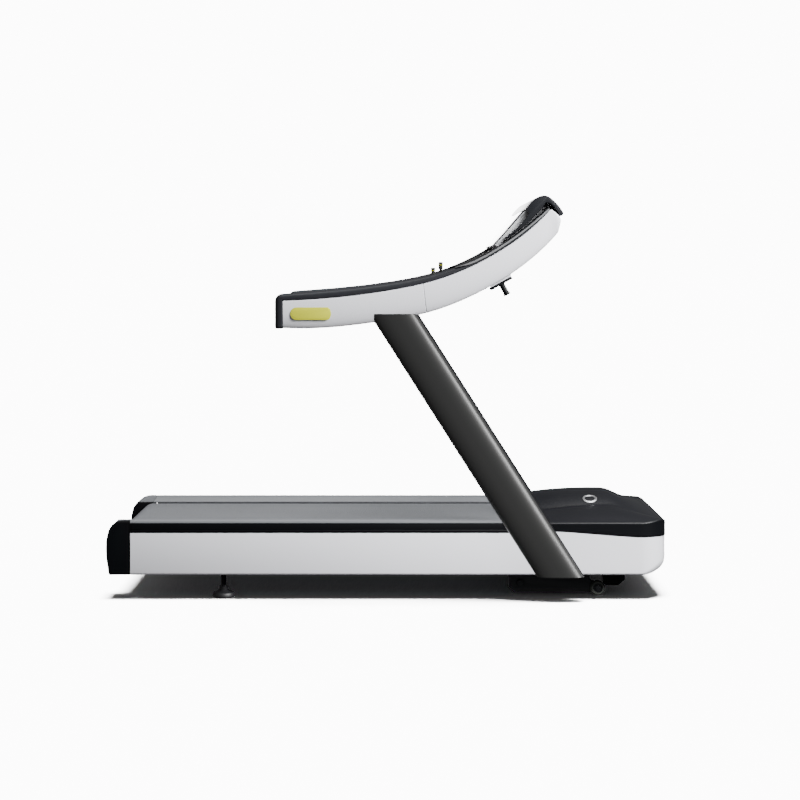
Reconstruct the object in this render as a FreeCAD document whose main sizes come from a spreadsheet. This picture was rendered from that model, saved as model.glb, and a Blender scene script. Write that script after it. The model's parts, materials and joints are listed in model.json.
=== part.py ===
"""Motorised treadmill: flat running deck, front lift for the incline, curved handrails rising into a console.

Frame: millimetres, +X forward (towards the console), +Y the user's left, +Z up.
The origin is on the floor, under the middle of the overall box.
Left-hand pieces are built; right-hand ones are their mirror images across the XZ plane.
"""

import FreeCAD, Part
import math
import os
import Sketcher
from FreeCAD import Placement, Rotation, Vector

doc = FreeCAD.newDocument("treadmill")

# Driving dimensions, in millimetres. "upright_lean" is a ratio.
SIZES = {
    # whole machine
    "overall_length": 2240,
    "overall_width": 930,
    "deck_width": 790,
    "deck_bottom": 98,
    "wall": 4,
    # running surface
    "belt_width": 518,
    "belt_thickness": 3,
    "belt_top": 296,
    "roller_radius": 48.5,
    "roller_gap": 0.5,
    "roller_wall": 6,
    "roller_disc": 14,
    "rear_roller_x": -1019,
    "front_roller_x": 560,
    "shaft_radius": 10,
    "bearing_gap": 0.05,
    "board_thickness": 25,
    "board_width": 560,
    "board_rear": -930,
    "board_front": 470,
    # frame
    "rail_y": 320,
    "rail_width": 40,
    "rail_bottom": 130,
    "rail_top": 230,
    "rail_rear": -1050,
    "rail_front": 1040,
    "rail_wall": 3,
    "cross_tube": 36,
    "cross_wall": 3,
    "tray_bottom": 104,
    # side covers
    "strip_bottom": 265,
    "strip_top": 305,
    "foot_rail_crest": 316,
    "foot_rail_lip": 303,
    "foot_rail_thickness": 4,
    "cap_length": 97,
    "cap_corner": 66,
    "panel_seam_x": 650,
    # hood and front shell
    "hood_rear_x": 500,
    "plan_corner": 110,
    "nose_radius": 60,
    "badge_x": 834,
    "badge_y": 145,
    "badge_radius": 30,
    # uprights
    "upright_long": 188,
    "upright_thick": 70,
    "upright_foot_x": 688,
    "upright_lean": 0.638,
    "bracket_x": 612,
    "bracket_length": 104,
    "bracket_z": 102,
    "bracket_height": 74,
    # handrails
    "arm_rear_x": -443,
    "arm_width": 72,
    "arm_end_radius": 30,
    # console
    "console_rear_x": 300,
    "cowl_half": 440,
    "glass_thickness": 4,
    "glass_half": 330,
    "bar_x": 203,
    "bar_z": 1278,
    "stick_y": 90,
    "cup_x": 398,
    "cup_y": 285,
    "cup_radius": 40,
    "cup_floor": 1292,
    # lift
    "pivot_x": 538,
    "pivot_z": 48,
    "lift_wheel_x": 850,
    "lift_wheel_radius": 30,
    "lift_wheel_width": 24,
    "arm_plate_y": 262,
    "arm_plate_thickness": 18,
    "jack_x": 700,
    "jack_z": 180,
    "lug_x": 740,
    "lug_z": 75,
    "lug_pin": 8,
    "lug_clearance": 6,
    "screw_radius": 11,
    "screw_stroke": 150,
    # drive
    "motor_x": 830,
    "motor_z": 262,
    "motor_radius": 72,
    "big_pulley": 55,
    "small_pulley": 30,
    "pulley_y": 346,
    "pulley_width": 26,
    # levellers
    "foot_x": -657,
    "foot_pad_radius": 45,
    "foot_stem_radius": 10.5,
}

sheet = doc.addObject("Spreadsheet::Sheet", "Sizes")
for row, (alias, number) in enumerate(SIZES.items(), start=1):
    sheet.set(f"A{row}", alias)
    sheet.set(f"B{row}", str(number))
    sheet.setAlias(f"B{row}", alias)
doc.recompute()


class Dim:
    """A length that carries its value and the spreadsheet expression it comes from."""

    def __init__(self, value, text=None):
        self.value = float(value)
        self.text = text or f"({float(value)!r})"

    def __float__(self):
        return self.value

    def __neg__(self):
        return Dim(-self.value, f"(-1 * {self.text})")

    def __add__(self, other):
        other = as_dim(other)
        return Dim(self.value + other.value, f"({self.text} + {other.text})")

    def __sub__(self, other):
        other = as_dim(other)
        return Dim(self.value - other.value, f"({self.text} - {other.text})")

    def __mul__(self, other):
        other = as_dim(other)
        return Dim(self.value * other.value, f"({self.text} * {other.text})")

    def __truediv__(self, other):
        other = as_dim(other)
        return Dim(self.value / other.value, f"({self.text} / {other.text})")

    def __rsub__(self, other):
        return as_dim(other) - self

    __radd__ = __add__
    __rmul__ = __mul__


def as_dim(value):
    return value if isinstance(value, Dim) else Dim(value)


def size(alias):
    return Dim(float(sheet.get(alias)), f"Sizes.{alias}")


def bind(obj, prop, value):
    obj.setExpression(prop, as_dim(value).text)


# ---------------------------------------------------------------- solids
TURN = {
    "x": Rotation(Vector(0, 0, 1), Vector(1, 0, 0)),
    "y": Rotation(Vector(0, 0, 1), Vector(0, 1, 0)),
    "z": Rotation(),
}
NODES = []


def node(obj):
    """Marks an object as a finished sub-part, to be written to parts/."""
    NODES.append(obj)
    return obj


def place(obj, start):
    for axis, value in zip("xyz", start):
        bind(obj, f"Placement.Base.{axis}", value)


def box(name, start, extent):
    obj = doc.addObject("Part::Box", name)
    for prop, value in zip(("Length", "Width", "Height"), extent):
        bind(obj, prop, value)
    place(obj, start)
    return obj


def cylinder(name, axis, radius, length, start):
    obj = doc.addObject("Part::Cylinder", name)
    obj.Placement = Placement(Vector(), TURN[axis])
    bind(obj, "Radius", radius)
    bind(obj, "Height", length)
    place(obj, start)
    return obj


def cone(name, radius1, radius2, length, start):
    obj = doc.addObject("Part::Cone", name)
    bind(obj, "Radius1", radius1)
    bind(obj, "Radius2", radius2)
    bind(obj, "Height", length)
    place(obj, start)
    return obj


def fuse(name, *parts):
    obj = doc.addObject("Part::MultiFuse", name)
    obj.Shapes = list(parts)
    obj.Refine = True
    return obj


def cut(name, base, *tools):
    obj = doc.addObject("Part::Cut", name)
    obj.Base = base
    obj.Tool = tools[0] if len(tools) == 1 else fuse(name + "_tools", *tools)
    return obj


def group(name, *parts):
    """Separate solids that share one node, such as a set of identical pieces."""
    obj = doc.addObject("Part::Compound", name)
    obj.Links = list(parts)
    return obj


def mirrored(obj, name):
    twin = doc.addObject("Part::Mirroring", name)
    twin.Source = obj
    twin.Normal = Vector(0, 1, 0)
    return twin


def pair(left):
    """A left-hand node and its right-hand mirror image."""
    node(left)
    return left, node(mirrored(left, left.Name.replace("left_", "right_")))


def both(name, piece):
    """One node that holds a piece and its mirror image as separate solids."""
    return node(group(name, piece, mirrored(piece, piece.Name + "_twin")))


def shape(name, solid):
    """A sub-part whose curved shape comes from Part's own functions."""
    obj = doc.addObject("Part::Feature", name)
    obj.Shape = solid
    return obj


def sketched(name, plane, loops, start, depth):
    """A PartDesign body: straight-sided loops on an origin plane, padded by depth.

    Each corner is a pair of lengths, and each is held to the sheet by a constraint.
    The pad starts at the given distance along +X, +Y or +Z and runs that way.
    """
    body = doc.addObject("PartDesign::Body", name)
    sketch = body.newObject("Sketcher::SketchObject", name + "_outline")
    origin = next(f for f in body.Origin.OriginFeatures if f.Role == plane)
    sketch.AttachmentSupport = [(origin, "")]
    sketch.MapMode = "FlatFace"
    towards = -1 if plane == "XZ_Plane" else 1
    bind(sketch, "AttachmentOffset.Base.z", as_dim(start) * towards)
    for corners in loops:
        first = sketch.GeometryCount
        points = [Vector(float(a), float(b), 0) for a, b in corners]
        ends = points[1:] + points[:1]
        sketch.addGeometry([Part.LineSegment(a, b) for a, b in zip(points, ends)])
        for i, corner in enumerate(corners):
            line, following = first + i, first + (i + 1) % len(corners)
            sketch.addConstraint(Sketcher.Constraint("Coincident", line, 2, following, 1))
            for kind, value in zip(("DistanceX", "DistanceY"), corner):
                held = Sketcher.Constraint(kind, -1, 1, line, 1, float(value))
                sketch.setExpression(f"Constraints[{sketch.addConstraint(held)}]", as_dim(value).text)
    pad = body.newObject("PartDesign::Pad", name + "_pad")
    pad.Profile = sketch
    pad.Reversed = plane == "XZ_Plane"
    bind(pad, "Length", depth)
    return body


def rounded(name, obj, radius, chosen):
    """Part fillet on the edges for which chosen(edge) is true."""
    doc.recompute()
    fillet = doc.addObject("Part::Fillet", name)
    fillet.Base = obj
    picked = [i for i, e in enumerate(obj.Shape.Edges, start=1) if chosen(e)]
    fillet.Edges = [(i, float(radius), float(radius)) for i in picked]
    return fillet


# ---------------------------------------------------------------- curved outlines
def spline(points):
    """Smooth edge in the XZ plane through (x, z) points."""
    curve = Part.BSplineCurve()
    curve.interpolate([Vector(float(x), 0, float(z)) for x, z in points])
    return curve.toShape()


def line(a, b):
    return Part.makeLine(Vector(float(a[0]), 0, float(a[1])), Vector(float(b[0]), 0, float(b[1])))


def arc(a, b, c):
    ends = [Vector(float(x), 0, float(z)) for x, z in (a, b, c)]
    return Part.Arc(*ends).toShape()


def slab(edges, low_y, high_y):
    """Solid between two values of Y whose XZ outline is a closed loop of edges."""
    wire = Part.Wire(Part.__sortEdges__(edges))
    face = Part.Face(wire)
    face.translate(Vector(0, float(low_y), 0))
    return face.extrude(Vector(0, float(high_y) - float(low_y), 0))


def outline(corners):
    """Straight-sided closed loop of edges."""
    return [line(a, b) for a, b in zip(corners, corners[1:] + corners[:1])]


half_length = size("overall_length") / 2
half_deck = size("deck_width") / 2
wall = size("wall")
floor_z = size("deck_bottom")


# ---------------------------------------------------------------- steel frame
def build_frame():
    rail_y, rail_width, rail_wall = size("rail_y"), size("rail_width"), size("rail_wall")
    bottom, top = size("rail_bottom"), size("rail_top")
    rear, length = size("rail_rear"), size("rail_front") - size("rail_rear")
    inner = rail_y - rail_width / 2
    skin = box("frame_rail_skin", (rear, inner, bottom), (length, rail_width, top - bottom))
    bore = box(
        "frame_rail_bore",
        (rear - 1, inner + rail_wall, bottom + rail_wall),
        (length + 2, rail_width - rail_wall * 2, top - bottom - rail_wall * 2),
    )
    both("frame_rails", cut("frame_rail", skin, bore))

    tube = size("cross_tube")
    tubes = []
    stations = [(-800, 200), (-380, 200), (40, 200), (420, 200), (520, 132)]
    thin = size("cross_wall")
    for i, (x, z) in enumerate(stations):
        skin = box(f"cross_tube_skin_{i}", (x, -inner, z), (tube, inner * 2, tube))
        hollow = (tube - thin * 2, inner * 2 + 2, tube - thin * 2)
        bore = box(f"cross_tube_bore_{i}", (x + thin, -inner - 1, z + thin), hollow)
        tubes.append(cut(f"cross_tube_{i}", skin, bore))
    node(group("cross_tubes", *tubes))

    # folded tray under the motor, with an opening that the lift screw passes through
    tray_bottom = size("tray_bottom")
    tray_rear, tray_length = 620, size("rail_front") - 620
    sheet_metal = 4
    floor = box("motor_tray_floor", (tray_rear, -inner, tray_bottom), (tray_length, inner * 2, sheet_metal))
    flanges = [
        box(f"motor_tray_flange_{i}", (x, -inner, tray_bottom), (sheet_metal, inner * 2, 40))
        for i, x in enumerate((tray_rear, size("rail_front") - sheet_metal))
    ]
    slot = box("motor_tray_slot", (656, -60, 0), (130, 120, 200))
    node(cut("motor_tray", fuse("motor_tray_blank", floor, *flanges), slot))

    # brackets that tie the uprights to the rails through the side covers
    gap = half_deck - rail_y - rail_width / 2
    start = (size("bracket_x"), rail_y + rail_width / 2, size("bracket_z"))
    foot = box("upright_bracket", start, (size("bracket_length"), gap, size("bracket_height")))
    both("upright_brackets", foot)


# ---------------------------------------------------------------- running surface
def roller_outline(radius):
    rear, front = float(size("rear_roller_x")), float(size("front_roller_x"))
    z = float(size("belt_top") - size("belt_thickness") - size("roller_radius") - size("roller_gap"))
    return [
        line((rear, z + radius), (front, z + radius)),
        arc((front, z + radius), (front + radius, z), (front, z - radius)),
        line((front, z - radius), (rear, z - radius)),
        arc((rear, z - radius), (rear - radius, z), (rear, z + radius)),
    ]


def roller_z():
    return size("belt_top") - size("belt_thickness") - size("roller_radius") - size("roller_gap")


def roller(name, x, z, axle):
    """Steel tube on its axle, held by a pierced disc near each end."""
    radius, length, thin = size("roller_radius"), size("belt_width") - 2, size("roller_wall")
    tube = cylinder(name + "_tube", "y", radius, length, (x, -length / 2, z))
    inside = cylinder(name + "_inside", "y", radius - thin, length + 2, (x, -length / 2 - 1, z))
    thickness, inset, hole_radius, pitch = size("roller_disc"), 12, 8, 26
    around = ((pitch, 0), (-pitch, 0), (0, pitch), (0, -pitch))
    discs = []
    for i, y in enumerate((-length / 2 + inset, length / 2 - inset - thickness)):
        disc = cylinder(f"{name}_disc_{i}", "y", radius - thin + 1, thickness, (x, y, z))
        holes = [
            cylinder(f"{name}_hole_{i}_{k}", "y", hole_radius, thickness + 2, (x + dx, y - 1, z + dz))
            for k, (dx, dz) in enumerate(around)
        ]
        discs.append(cut(f"{name}_web_{i}", disc, *holes))
    return fuse(name, cut(name + "_shell", tube, inside), *discs, axle)


def build_running_surface():
    half_belt = size("belt_width") / 2
    inside = float(size("roller_radius") + size("roller_gap"))
    loop_outside = slab(roller_outline(inside + float(size("belt_thickness"))), -half_belt, half_belt)
    loop_inside = slab(roller_outline(inside), -half_belt - 1, half_belt + 1)
    node(shape("running_belt", loop_outside.cut(loop_inside)))

    thickness, width = size("board_thickness"), size("board_width")
    board_top = size("belt_top") - size("belt_thickness") - 0.5
    chamfer = 6
    rear, front, low = size("board_rear"), size("board_front"), board_top - thickness
    side = [
        (rear, low), (front, low), (front, board_top - chamfer), (front - chamfer * 2, board_top),
        (rear + chamfer * 2, board_top), (rear, board_top - chamfer),
    ]
    node(sketched("running_deck", "XZ_Plane", [side], -width / 2, width))

    cushions = []
    tube = size("cross_tube")
    for x in (-800, -380, 40, 420):
        for y in (-235, 235):
            foot = (tube / 2 + x, y, tube + 200)
            cushions.append(cone(f"cushion_{x}_{y}", 17, 14, low - tube - 200, foot))
    node(group("deck_cushions", *cushions))

    # rollers turn on shafts held in pillow blocks on top of the rails
    z, shaft, reach = roller_z(), size("shaft_radius"), size("rail_y") + 20
    rear_x, front_x = size("rear_roller_x"), size("front_roller_x")
    axle = cylinder("rear_roller_axle", "y", shaft, reach * 2, (rear_x, -reach, z))
    node(roller("rear_roller", rear_x, z, axle))
    drive_end = size("pulley_y") + size("pulley_width")
    axle = cylinder("front_roller_axle", "y", shaft, drive_end + reach, (front_x, -reach, z))
    node(roller("front_roller", front_x, z, axle))

    big, pulley_y, pulley_width = size("big_pulley"), size("pulley_y"), size("pulley_width")
    rim = cylinder("drive_pulley_rim", "y", big, pulley_width, (front_x, pulley_y, z))
    hub = cylinder("drive_pulley_bore", "y", shaft, pulley_width + 2, (front_x, pulley_y - 1, z))
    node(cut("drive_pulley", rim, hub))

    blocks = []
    rail_top = size("rail_top")
    for i, x in enumerate((rear_x, front_x)):
        y = size("rail_y") - size("rail_width") / 2
        block = box(f"bearing_block_{i}", (x - 26, y, rail_top), (52, size("rail_width"), z - rail_top + 22))
        bore_radius = shaft + size("bearing_gap")
        bore = cylinder(f"bearing_bore_{i}", "y", bore_radius, size("rail_width") + 2, (x, y - 1, z))
        bored = cut(f"bearing_{i}", block, bore)
        blocks += [bored, mirrored(bored, f"bearing_{i}_twin")]
    node(group("bearing_blocks", *blocks))

    bolt = cylinder("tension_bolt_shank", "x", 5, 46, (rear_x - 72, size("rail_y"), z + 3))
    head = cylinder("tension_bolt_head", "x", 8.5, 7, (rear_x - 79, size("rail_y"), z + 3))
    both("tension_bolts", fuse("tension_bolt", bolt, head))


# ---------------------------------------------------------------- drive
def build_drive():
    x, z, radius = size("motor_x"), size("motor_z"), size("motor_radius")
    can = cylinder("drive_motor_can", "y", radius, 200, (x, 70, z))
    tray_top = size("tray_bottom") + 4
    foot = box("drive_motor_foot", (x - 60, 90, tray_top), (120, 160, z - tray_top - 56))
    bore = cylinder("drive_motor_bore", "y", size("shaft_radius") + size("bearing_gap"), 210, (x, 69, z))
    node(cut("drive_motor", fuse("drive_motor_case", can, foot), bore))

    pulley_y, pulley_width = size("pulley_y"), size("pulley_width")
    shaft = cylinder("motor_shaft", "y", size("shaft_radius"), pulley_y + pulley_width - 60, (x, 60, z))
    wheel = cylinder("motor_pulley", "y", size("small_pulley"), pulley_width, (x, pulley_y, z))
    node(fuse("motor_rotor", shaft, wheel))

    # ribbed belt: two arcs joined by the outer tangents of the two pulleys
    far_x, far_z = float(size("front_roller_x")), float(roller_z())
    near_x, near_z = float(x), float(z)
    reach = math.hypot(near_x - far_x, near_z - far_z)
    heading = math.atan2(near_z - far_z, near_x - far_x)

    def loop(clearance):
        big = float(size("big_pulley")) + clearance
        small = float(size("small_pulley")) + clearance
        splay = math.acos((big - small) / reach)

        def on(cx, cz, radius, angle):
            return (cx + radius * math.cos(angle), cz + radius * math.sin(angle))

        up, down = heading + splay, heading - splay
        big_up, big_down = on(far_x, far_z, big, up), on(far_x, far_z, big, down)
        small_up, small_down = on(near_x, near_z, small, up), on(near_x, near_z, small, down)
        return [
            line(big_up, small_up),
            arc(small_up, on(near_x, near_z, small, heading), small_down),
            line(small_down, big_down),
            arc(big_down, on(far_x, far_z, big, heading + math.pi), big_up),
        ]

    inset = 3
    low, high = float(pulley_y) + inset, float(pulley_y + pulley_width) - inset
    gap, thickness = 0.5, 4
    ring = slab(loop(gap + thickness), low, high).cut(slab(loop(gap), low - 1, high + 1))
    node(shape("poly_v_belt", ring))

    body = box("motor_controller_body", (900, -280, tray_top), (120, 220, 110))
    fin_z = tray_top + 110
    fins = [box(f"motor_controller_fin_{i}", (904, 25 * i - 270, fin_z), (112, 4, 22)) for i in range(9)]
    node(fuse("motor_controller", body, *fins))

    flange = box("power_inlet_flange", (half_length - wall, 195, 128), (3, 60, 36))
    body = box("power_inlet_body", (half_length - 36, 200, 132), (33, 50, 28))
    socket = box("power_inlet_socket", (half_length - 26, 206, 137), (30, 38, 18))
    node(cut("power_inlet", fuse("power_inlet_blank", flange, body), socket))


# ---------------------------------------------------------------- incline lift
def build_lift():
    px, pz = size("pivot_x"), size("pivot_z")
    wx, wr = size("lift_wheel_x"), size("lift_wheel_radius")
    plate_y, plate = size("arm_plate_y"), size("arm_plate_thickness")
    running = size("bearing_gap")
    pin = 12

    # two long side plates, joined by cross tubes, carry the wheels on stub axles
    side = [
        (px - 26, 10), (wx - 31, 10), (wx + 12, 14), (wx + 16, 40), (wx - 31, 62), (wx - 31, 98),
        (px - 40, 98), (px - 46, 86), (px - 46, 34),
    ]
    left = sketched("lift_plate", "XZ_Plane", [side], plate_y, plate)
    eye = cylinder("lift_plate_eye", "y", running + pin, plate + 2, (px, plate_y - 1, pz))
    left = cut("lift_plate_bored", left, eye)
    axle = cylinder("lift_axle", "y", 8, size("lift_wheel_width") + plate, (wx, plate_y + 2, wr))
    right = mirrored(left, "lift_plate_right")
    right_axle = mirrored(axle, "lift_axle_right")
    ties = [
        box("lift_tie_front", (size("lug_x") - 26, -plate_y, 12), (52, plate_y * 2, 26)),
        box("lift_tie_rear", (px + 60, -plate_y, 30), (30, plate_y * 2, 50)),
    ]
    lx, lz, lug_pin = size("lug_x"), size("lug_z"), size("lug_pin")
    ears = [box(f"lift_ear_{i}", (lx - 16, y, 30), (32, 8, lz - 14)) for i, y in enumerate((-26, 18))]
    cross_pin = cylinder("lift_ear_pin", "y", lug_pin, 44, (lx, -22, lz))
    node(fuse("lift_arm", left, right, axle, right_axle, *ties, *ears, cross_pin))

    # hanger plates under the frame, each with its pivot pin
    hanger = box("lift_hanger_plate", (px - 28, plate_y - 24, 26), (56, 20, size("rail_bottom") - 24))
    hinge_pin = cylinder("lift_hanger_pin", "y", pin, plate + 26, (px, plate_y - 14, pz))
    both("lift_brackets", fuse("lift_hanger", hanger, hinge_pin))

    # transport wheels: tyre and hub in one
    width = size("lift_wheel_width")
    start = plate_y + plate + 1
    disc = cylinder("lift_wheel_disc", "y", wr, width, (wx, start, wr))
    bore = cylinder("lift_wheel_bore", "y", running + 8, width + 2, (wx, start - 1, wr))
    soft = rounded("lift_wheel_tyre", disc, 3, lambda e: e.Closed)
    pair(cut("left_lift_wheel", soft, bore))

    # bump blocks under the front of the frame
    stop = [(871, floor_z), (871, 52), (880, 43), (932, 43), (958, 66), (958, floor_z)]
    block = sketched("front_stop", "XZ_Plane", [stop], 250, 60)
    both("front_stops", block)

    # jack: a gearmotor on trunnions, with the screw running up through it
    jx, jz = size("jack_x"), size("jack_z")
    tilt = math.degrees(math.atan2(float(lx) - float(jx), float(jz) - float(lz)))
    lean = Rotation(Vector(0, 1, 0), -tilt)
    centre = Vector(float(jx), 0, float(jz))

    def leaned(solid):
        """Solid drawn about the origin with the screw along Z, moved to the jack."""
        solid.Placement = Placement(centre, lean).multiply(solid.Placement)
        return solid

    screw = float(size("screw_radius"))
    stroke = float(size("screw_stroke"))
    clear = float(size("bearing_gap"))
    drop = math.hypot(float(lx) - float(jx), float(jz) - float(lz))
    gearbox = Part.makeBox(64, 64, 56, Vector(-32, -32, -28))
    jack_motor = Part.makeCylinder(34, 130, Vector(0, -32, 0), Vector(0, -1, 0))
    trunnion = Part.makeCylinder(9, 90, Vector(0, 32, 0), Vector(0, 1, 0))
    bore = Part.makeCylinder(screw + clear, 80, Vector(0, 0, -40))
    case = gearbox.fuse([jack_motor, trunnion]).cut(bore).removeSplitter()
    node(shape("lift_motor", leaned(case)))

    eye_radius = float(lug_pin) + float(size("lug_clearance"))
    eye_rim = 24
    rod = Part.makeCylinder(screw, stroke + drop - eye_radius - 2, Vector(0, 0, 2 + eye_radius - drop))
    ring = Part.makeCylinder(eye_rim, 32, Vector(0, -16, -drop), Vector(0, 1, 0))
    hole = Part.makeCylinder(eye_radius, 34, Vector(0, -17, -drop), Vector(0, 1, 0))
    node(shape("lift_screw", leaned(rod.fuse(ring).cut(hole).removeSplitter())))

    # rear levelling feet: pad and threaded stem, screwed up into the rails
    fx, fy, stem = size("foot_x"), size("rail_y"), size("foot_stem_radius")
    pad = cylinder("leveller_pad", "z", size("foot_pad_radius"), 9, (fx, fy, 0))
    dome = cone("leveller_dome", size("foot_pad_radius") - 6, 16, 17, (fx, fy, 9))
    post = cylinder("leveller_stem", "z", stem, 101, (fx, fy, 26))
    collar = cylinder("leveller_nut", "z", 17, 12, (fx, fy, 72))
    pair(fuse("left_leveller", pad, dome, post, collar))


# ---------------------------------------------------------------- deck covers
def foot_rail(start_x, end_x, crest, lip):
    """Foot-rail section in YZ: a shallow dish from the inner lip up to the outer crest."""
    half_lip = size("belt_width") / 2
    outer = half_deck
    thickness = size("foot_rail_thickness")
    dish = [
        (half_lip, lip), (half_lip + 30, lip - 1), (half_lip + 70, lip + 1), (outer - 30, crest - 6),
        (outer - 14, crest - 1), (outer - 8, crest), (outer - 2, crest - 3), (outer, strip_top()),
    ]
    under = [(y - thickness / 4, z - thickness) for y, z in reversed(dish[1:-1])]
    loop = dish + [(outer - thickness, strip_top())] + under + [(half_lip, lip - thickness + 1)]
    return sketched("left_foot_rail", "YZ_Plane", [loop], start_x, end_x - start_x)


def strip_top():
    return size("strip_top")


def build_covers():
    rear_end = -half_length + size("cap_length")
    seam = size("panel_seam_x")
    strip_low, strip_high = size("strip_bottom"), size("strip_top")
    hood_x = size("hood_rear_x")
    crest, lip = size("foot_rail_crest"), size("foot_rail_lip")

    # white side panel: a channel with a folded bottom edge and a folded top edge
    flange = 18
    section = [
        (half_deck - flange, floor_z), (half_deck - 5, floor_z), (half_deck, floor_z + 5),
        (half_deck, strip_low), (half_deck - flange, strip_low), (half_deck - flange, strip_low - wall),
        (half_deck - wall, strip_low - wall), (half_deck - wall, floor_z + wall),
        (half_deck - flange, floor_z + wall),
    ]
    panel = sketched("left_side_panel_blank", "YZ_Plane", [section], rear_end, seam - rear_end)
    window = box(
        "left_side_panel_window",
        (size("bracket_x") - 4, half_deck - wall - 1, size("bracket_z") - 2),
        (size("bracket_length") + 8, 10, size("bracket_height") + 4),
    )
    pair(cut("left_side_panel", panel, window))

    # black trim strip above it
    strip = [
        (half_deck, strip_low), (half_deck, strip_high), (half_deck - wall, strip_high),
        (half_deck - wall, strip_low),
    ]
    pair(sketched("left_trim_strip", "YZ_Plane", [strip], rear_end, hood_x - rear_end))
    pair(foot_rail(rear_end, hood_x, crest, lip))

    # rear end caps: hollow, open towards the front, notched for the roller shaft
    x0, x1 = -half_length, rear_end
    corner = size("cap_corner")
    inner_y = size("belt_width") / 2 + 3

    def profile(inset):
        """Side outline of the cap: bulged back, large round at the top rear corner."""
        back, low = x0 + inset, floor_z + inset
        turn = [(12, low), (4, 150), (0, 205), (5, 255), (16, 285), (37, 306), (corner, crest - 1)]
        turn = [(back + dx, z) for dx, z in turn[:4]] + [(back + dx, z - inset) for dx, z in turn[4:]]
        start, end = (back + 12, low), (back + corner, crest - 1 - inset)
        return [spline(turn), line(end, (x1 + inset, crest + 3 - inset)),
                line((x1 + inset, crest + 3 - inset), (x1 + inset, low)), line((x1 + inset, low), start)]

    def under_tread(drop):
        """Everything below the foot rail's dished line, lowered by drop."""
        top = [(half_deck, strip_top() + 5), (half_deck - 3, crest - 2), (half_deck - 8, crest),
               (half_deck - 14, crest - 1), (half_deck - 30, crest - 6), (inner_y + 67, lip + 1),
               (inner_y + 27, lip - 1), (inner_y, lip - 1)]
        corners = [(inner_y, 0), (half_deck, 0)] + [(y, z - drop) for y, z in top]
        points = [Vector(float(x0) - 5, float(y), float(z)) for y, z in corners]
        wire = Part.makePolygon(points + points[:1])
        return Part.Face(wire).extrude(Vector(float(x1 - x0) + 10, 0, 0))

    outer = slab(profile(0), inner_y, half_deck).common(under_tread(0))
    hollow = slab(profile(wall), inner_y + wall, half_deck - wall).common(under_tread(wall))
    notch_x, notch_y, notch_z = float(size("rear_roller_x")) - 16, float(inner_y) - 5, 224
    notch = Part.makeBox(60, 30, 40, Vector(notch_x, notch_y, notch_z))
    pair(shape("left_rear_cap", outer.cut(hollow).cut(notch)))


# ---------------------------------------------------------------- hood and front shell
def between(stations, x):
    """Straight-line reading of (x, value) stations."""
    for (x0, v0), (x1, v1) in zip(stations, stations[1:]):
        if x <= x1:
            return v0 + (v1 - v0) * max(x - x0, 0) / (x1 - x0)
    return stations[-1][1]


# heights of the hood's centre line, and the crease between its crown and each flank
HOOD_X = [500, 540, 600, 680, 760, 840, 890, 915, 935, 960, 1010, 1065, half_length.value]
HOOD_RIDGE = [345, 364, 380, 389.5, 394.5, 396, 395.8, 393.5, 386, 373, 350, 327, 307]
CREASE_Y = [(500, 190), (925, 190), (1090, 300), (1120, 310)]
CREASE_Z = [(500, 317), (560, 324), (633, 331), (812, 350), (915, 352), (1090, 310), (1120, 306)]


def hood_section(x, inset):
    """Closed YZ section of the hood at x, drawn the given distance inside its skin."""
    edge = float(half_deck) - inset
    low = float(size("strip_top")) - inset
    ridge = HOOD_RIDGE[HOOD_X.index(x)] - inset
    fold_y, fold_z = between(CREASE_Y, x), between(CREASE_Z, x) - inset
    crown = [(-fold_y, fold_z), (-fold_y / 2, ridge - (ridge - fold_z) * 0.22), (0, ridge)]
    crown += [(-y, z) for y, z in reversed(crown[:-1])]
    flank = [(fold_y, fold_z), ((fold_y + edge) / 2, (fold_z + low) / 2 + 9), (edge, low)]

    def curve(points):
        made = Part.BSplineCurve()
        made.interpolate([Vector(x, y, z) for y, z in points])
        return made.toShape()

    base = float(floor_z) - 10
    corners = [Vector(x, y, z) for y, z in ((edge, low), (edge, base), (-edge, base), (-edge, low))]
    return Part.Wire([
        curve([(-y, z) for y, z in reversed(flank)]),
        curve(crown),
        curve(flank),
        Part.makeLine(corners[0], corners[1]),
        Part.makeLine(corners[1], corners[2]),
        Part.makeLine(corners[2], corners[3]),
    ])


def hood_block(inset, beyond=0):
    """Solid under the hood's skin, down past the deck's bottom, with rounded front corners.

    It is carried straight on past the hood's rear edge by the distance beyond.
    """
    nose, rear = float(half_length), HOOD_X[0] - beyond
    sections = [hood_section(x, inset) for x in HOOD_X]
    if beyond:
        sections.insert(0, sections[0].translated(Vector(-beyond, 0, 0)))
    block = Part.makeLoft(sections, True, True)
    edge, front = float(half_deck) - inset, nose - inset
    corner = float(size("plan_corner")) - inset
    side_x = front - corner
    bend = corner * math.sqrt(0.5)
    flat = [Vector(rear - 5, -edge, 0), Vector(side_x, -edge, 0)]
    mid_right = Vector(side_x + bend, -edge + corner - bend, 0)
    nose_right, nose_left = Vector(front, -edge + corner, 0), Vector(front, edge - corner, 0)
    mid_left = Vector(side_x + bend, edge - corner + bend, 0)
    rest = [Vector(side_x, edge, 0), Vector(rear - 5, edge, 0)]
    loop = Part.Wire([
        Part.makeLine(*flat),
        Part.Arc(flat[1], mid_right, nose_right).toShape(),
        Part.makeLine(nose_right, nose_left),
        Part.Arc(nose_left, mid_left, rest[0]).toShape(),
        Part.makeLine(*rest),
        Part.makeLine(rest[1], flat[0]),
    ])
    plan = Part.Face(loop).extrude(Vector(0, 0, 600))
    return block.common(plan)


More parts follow.
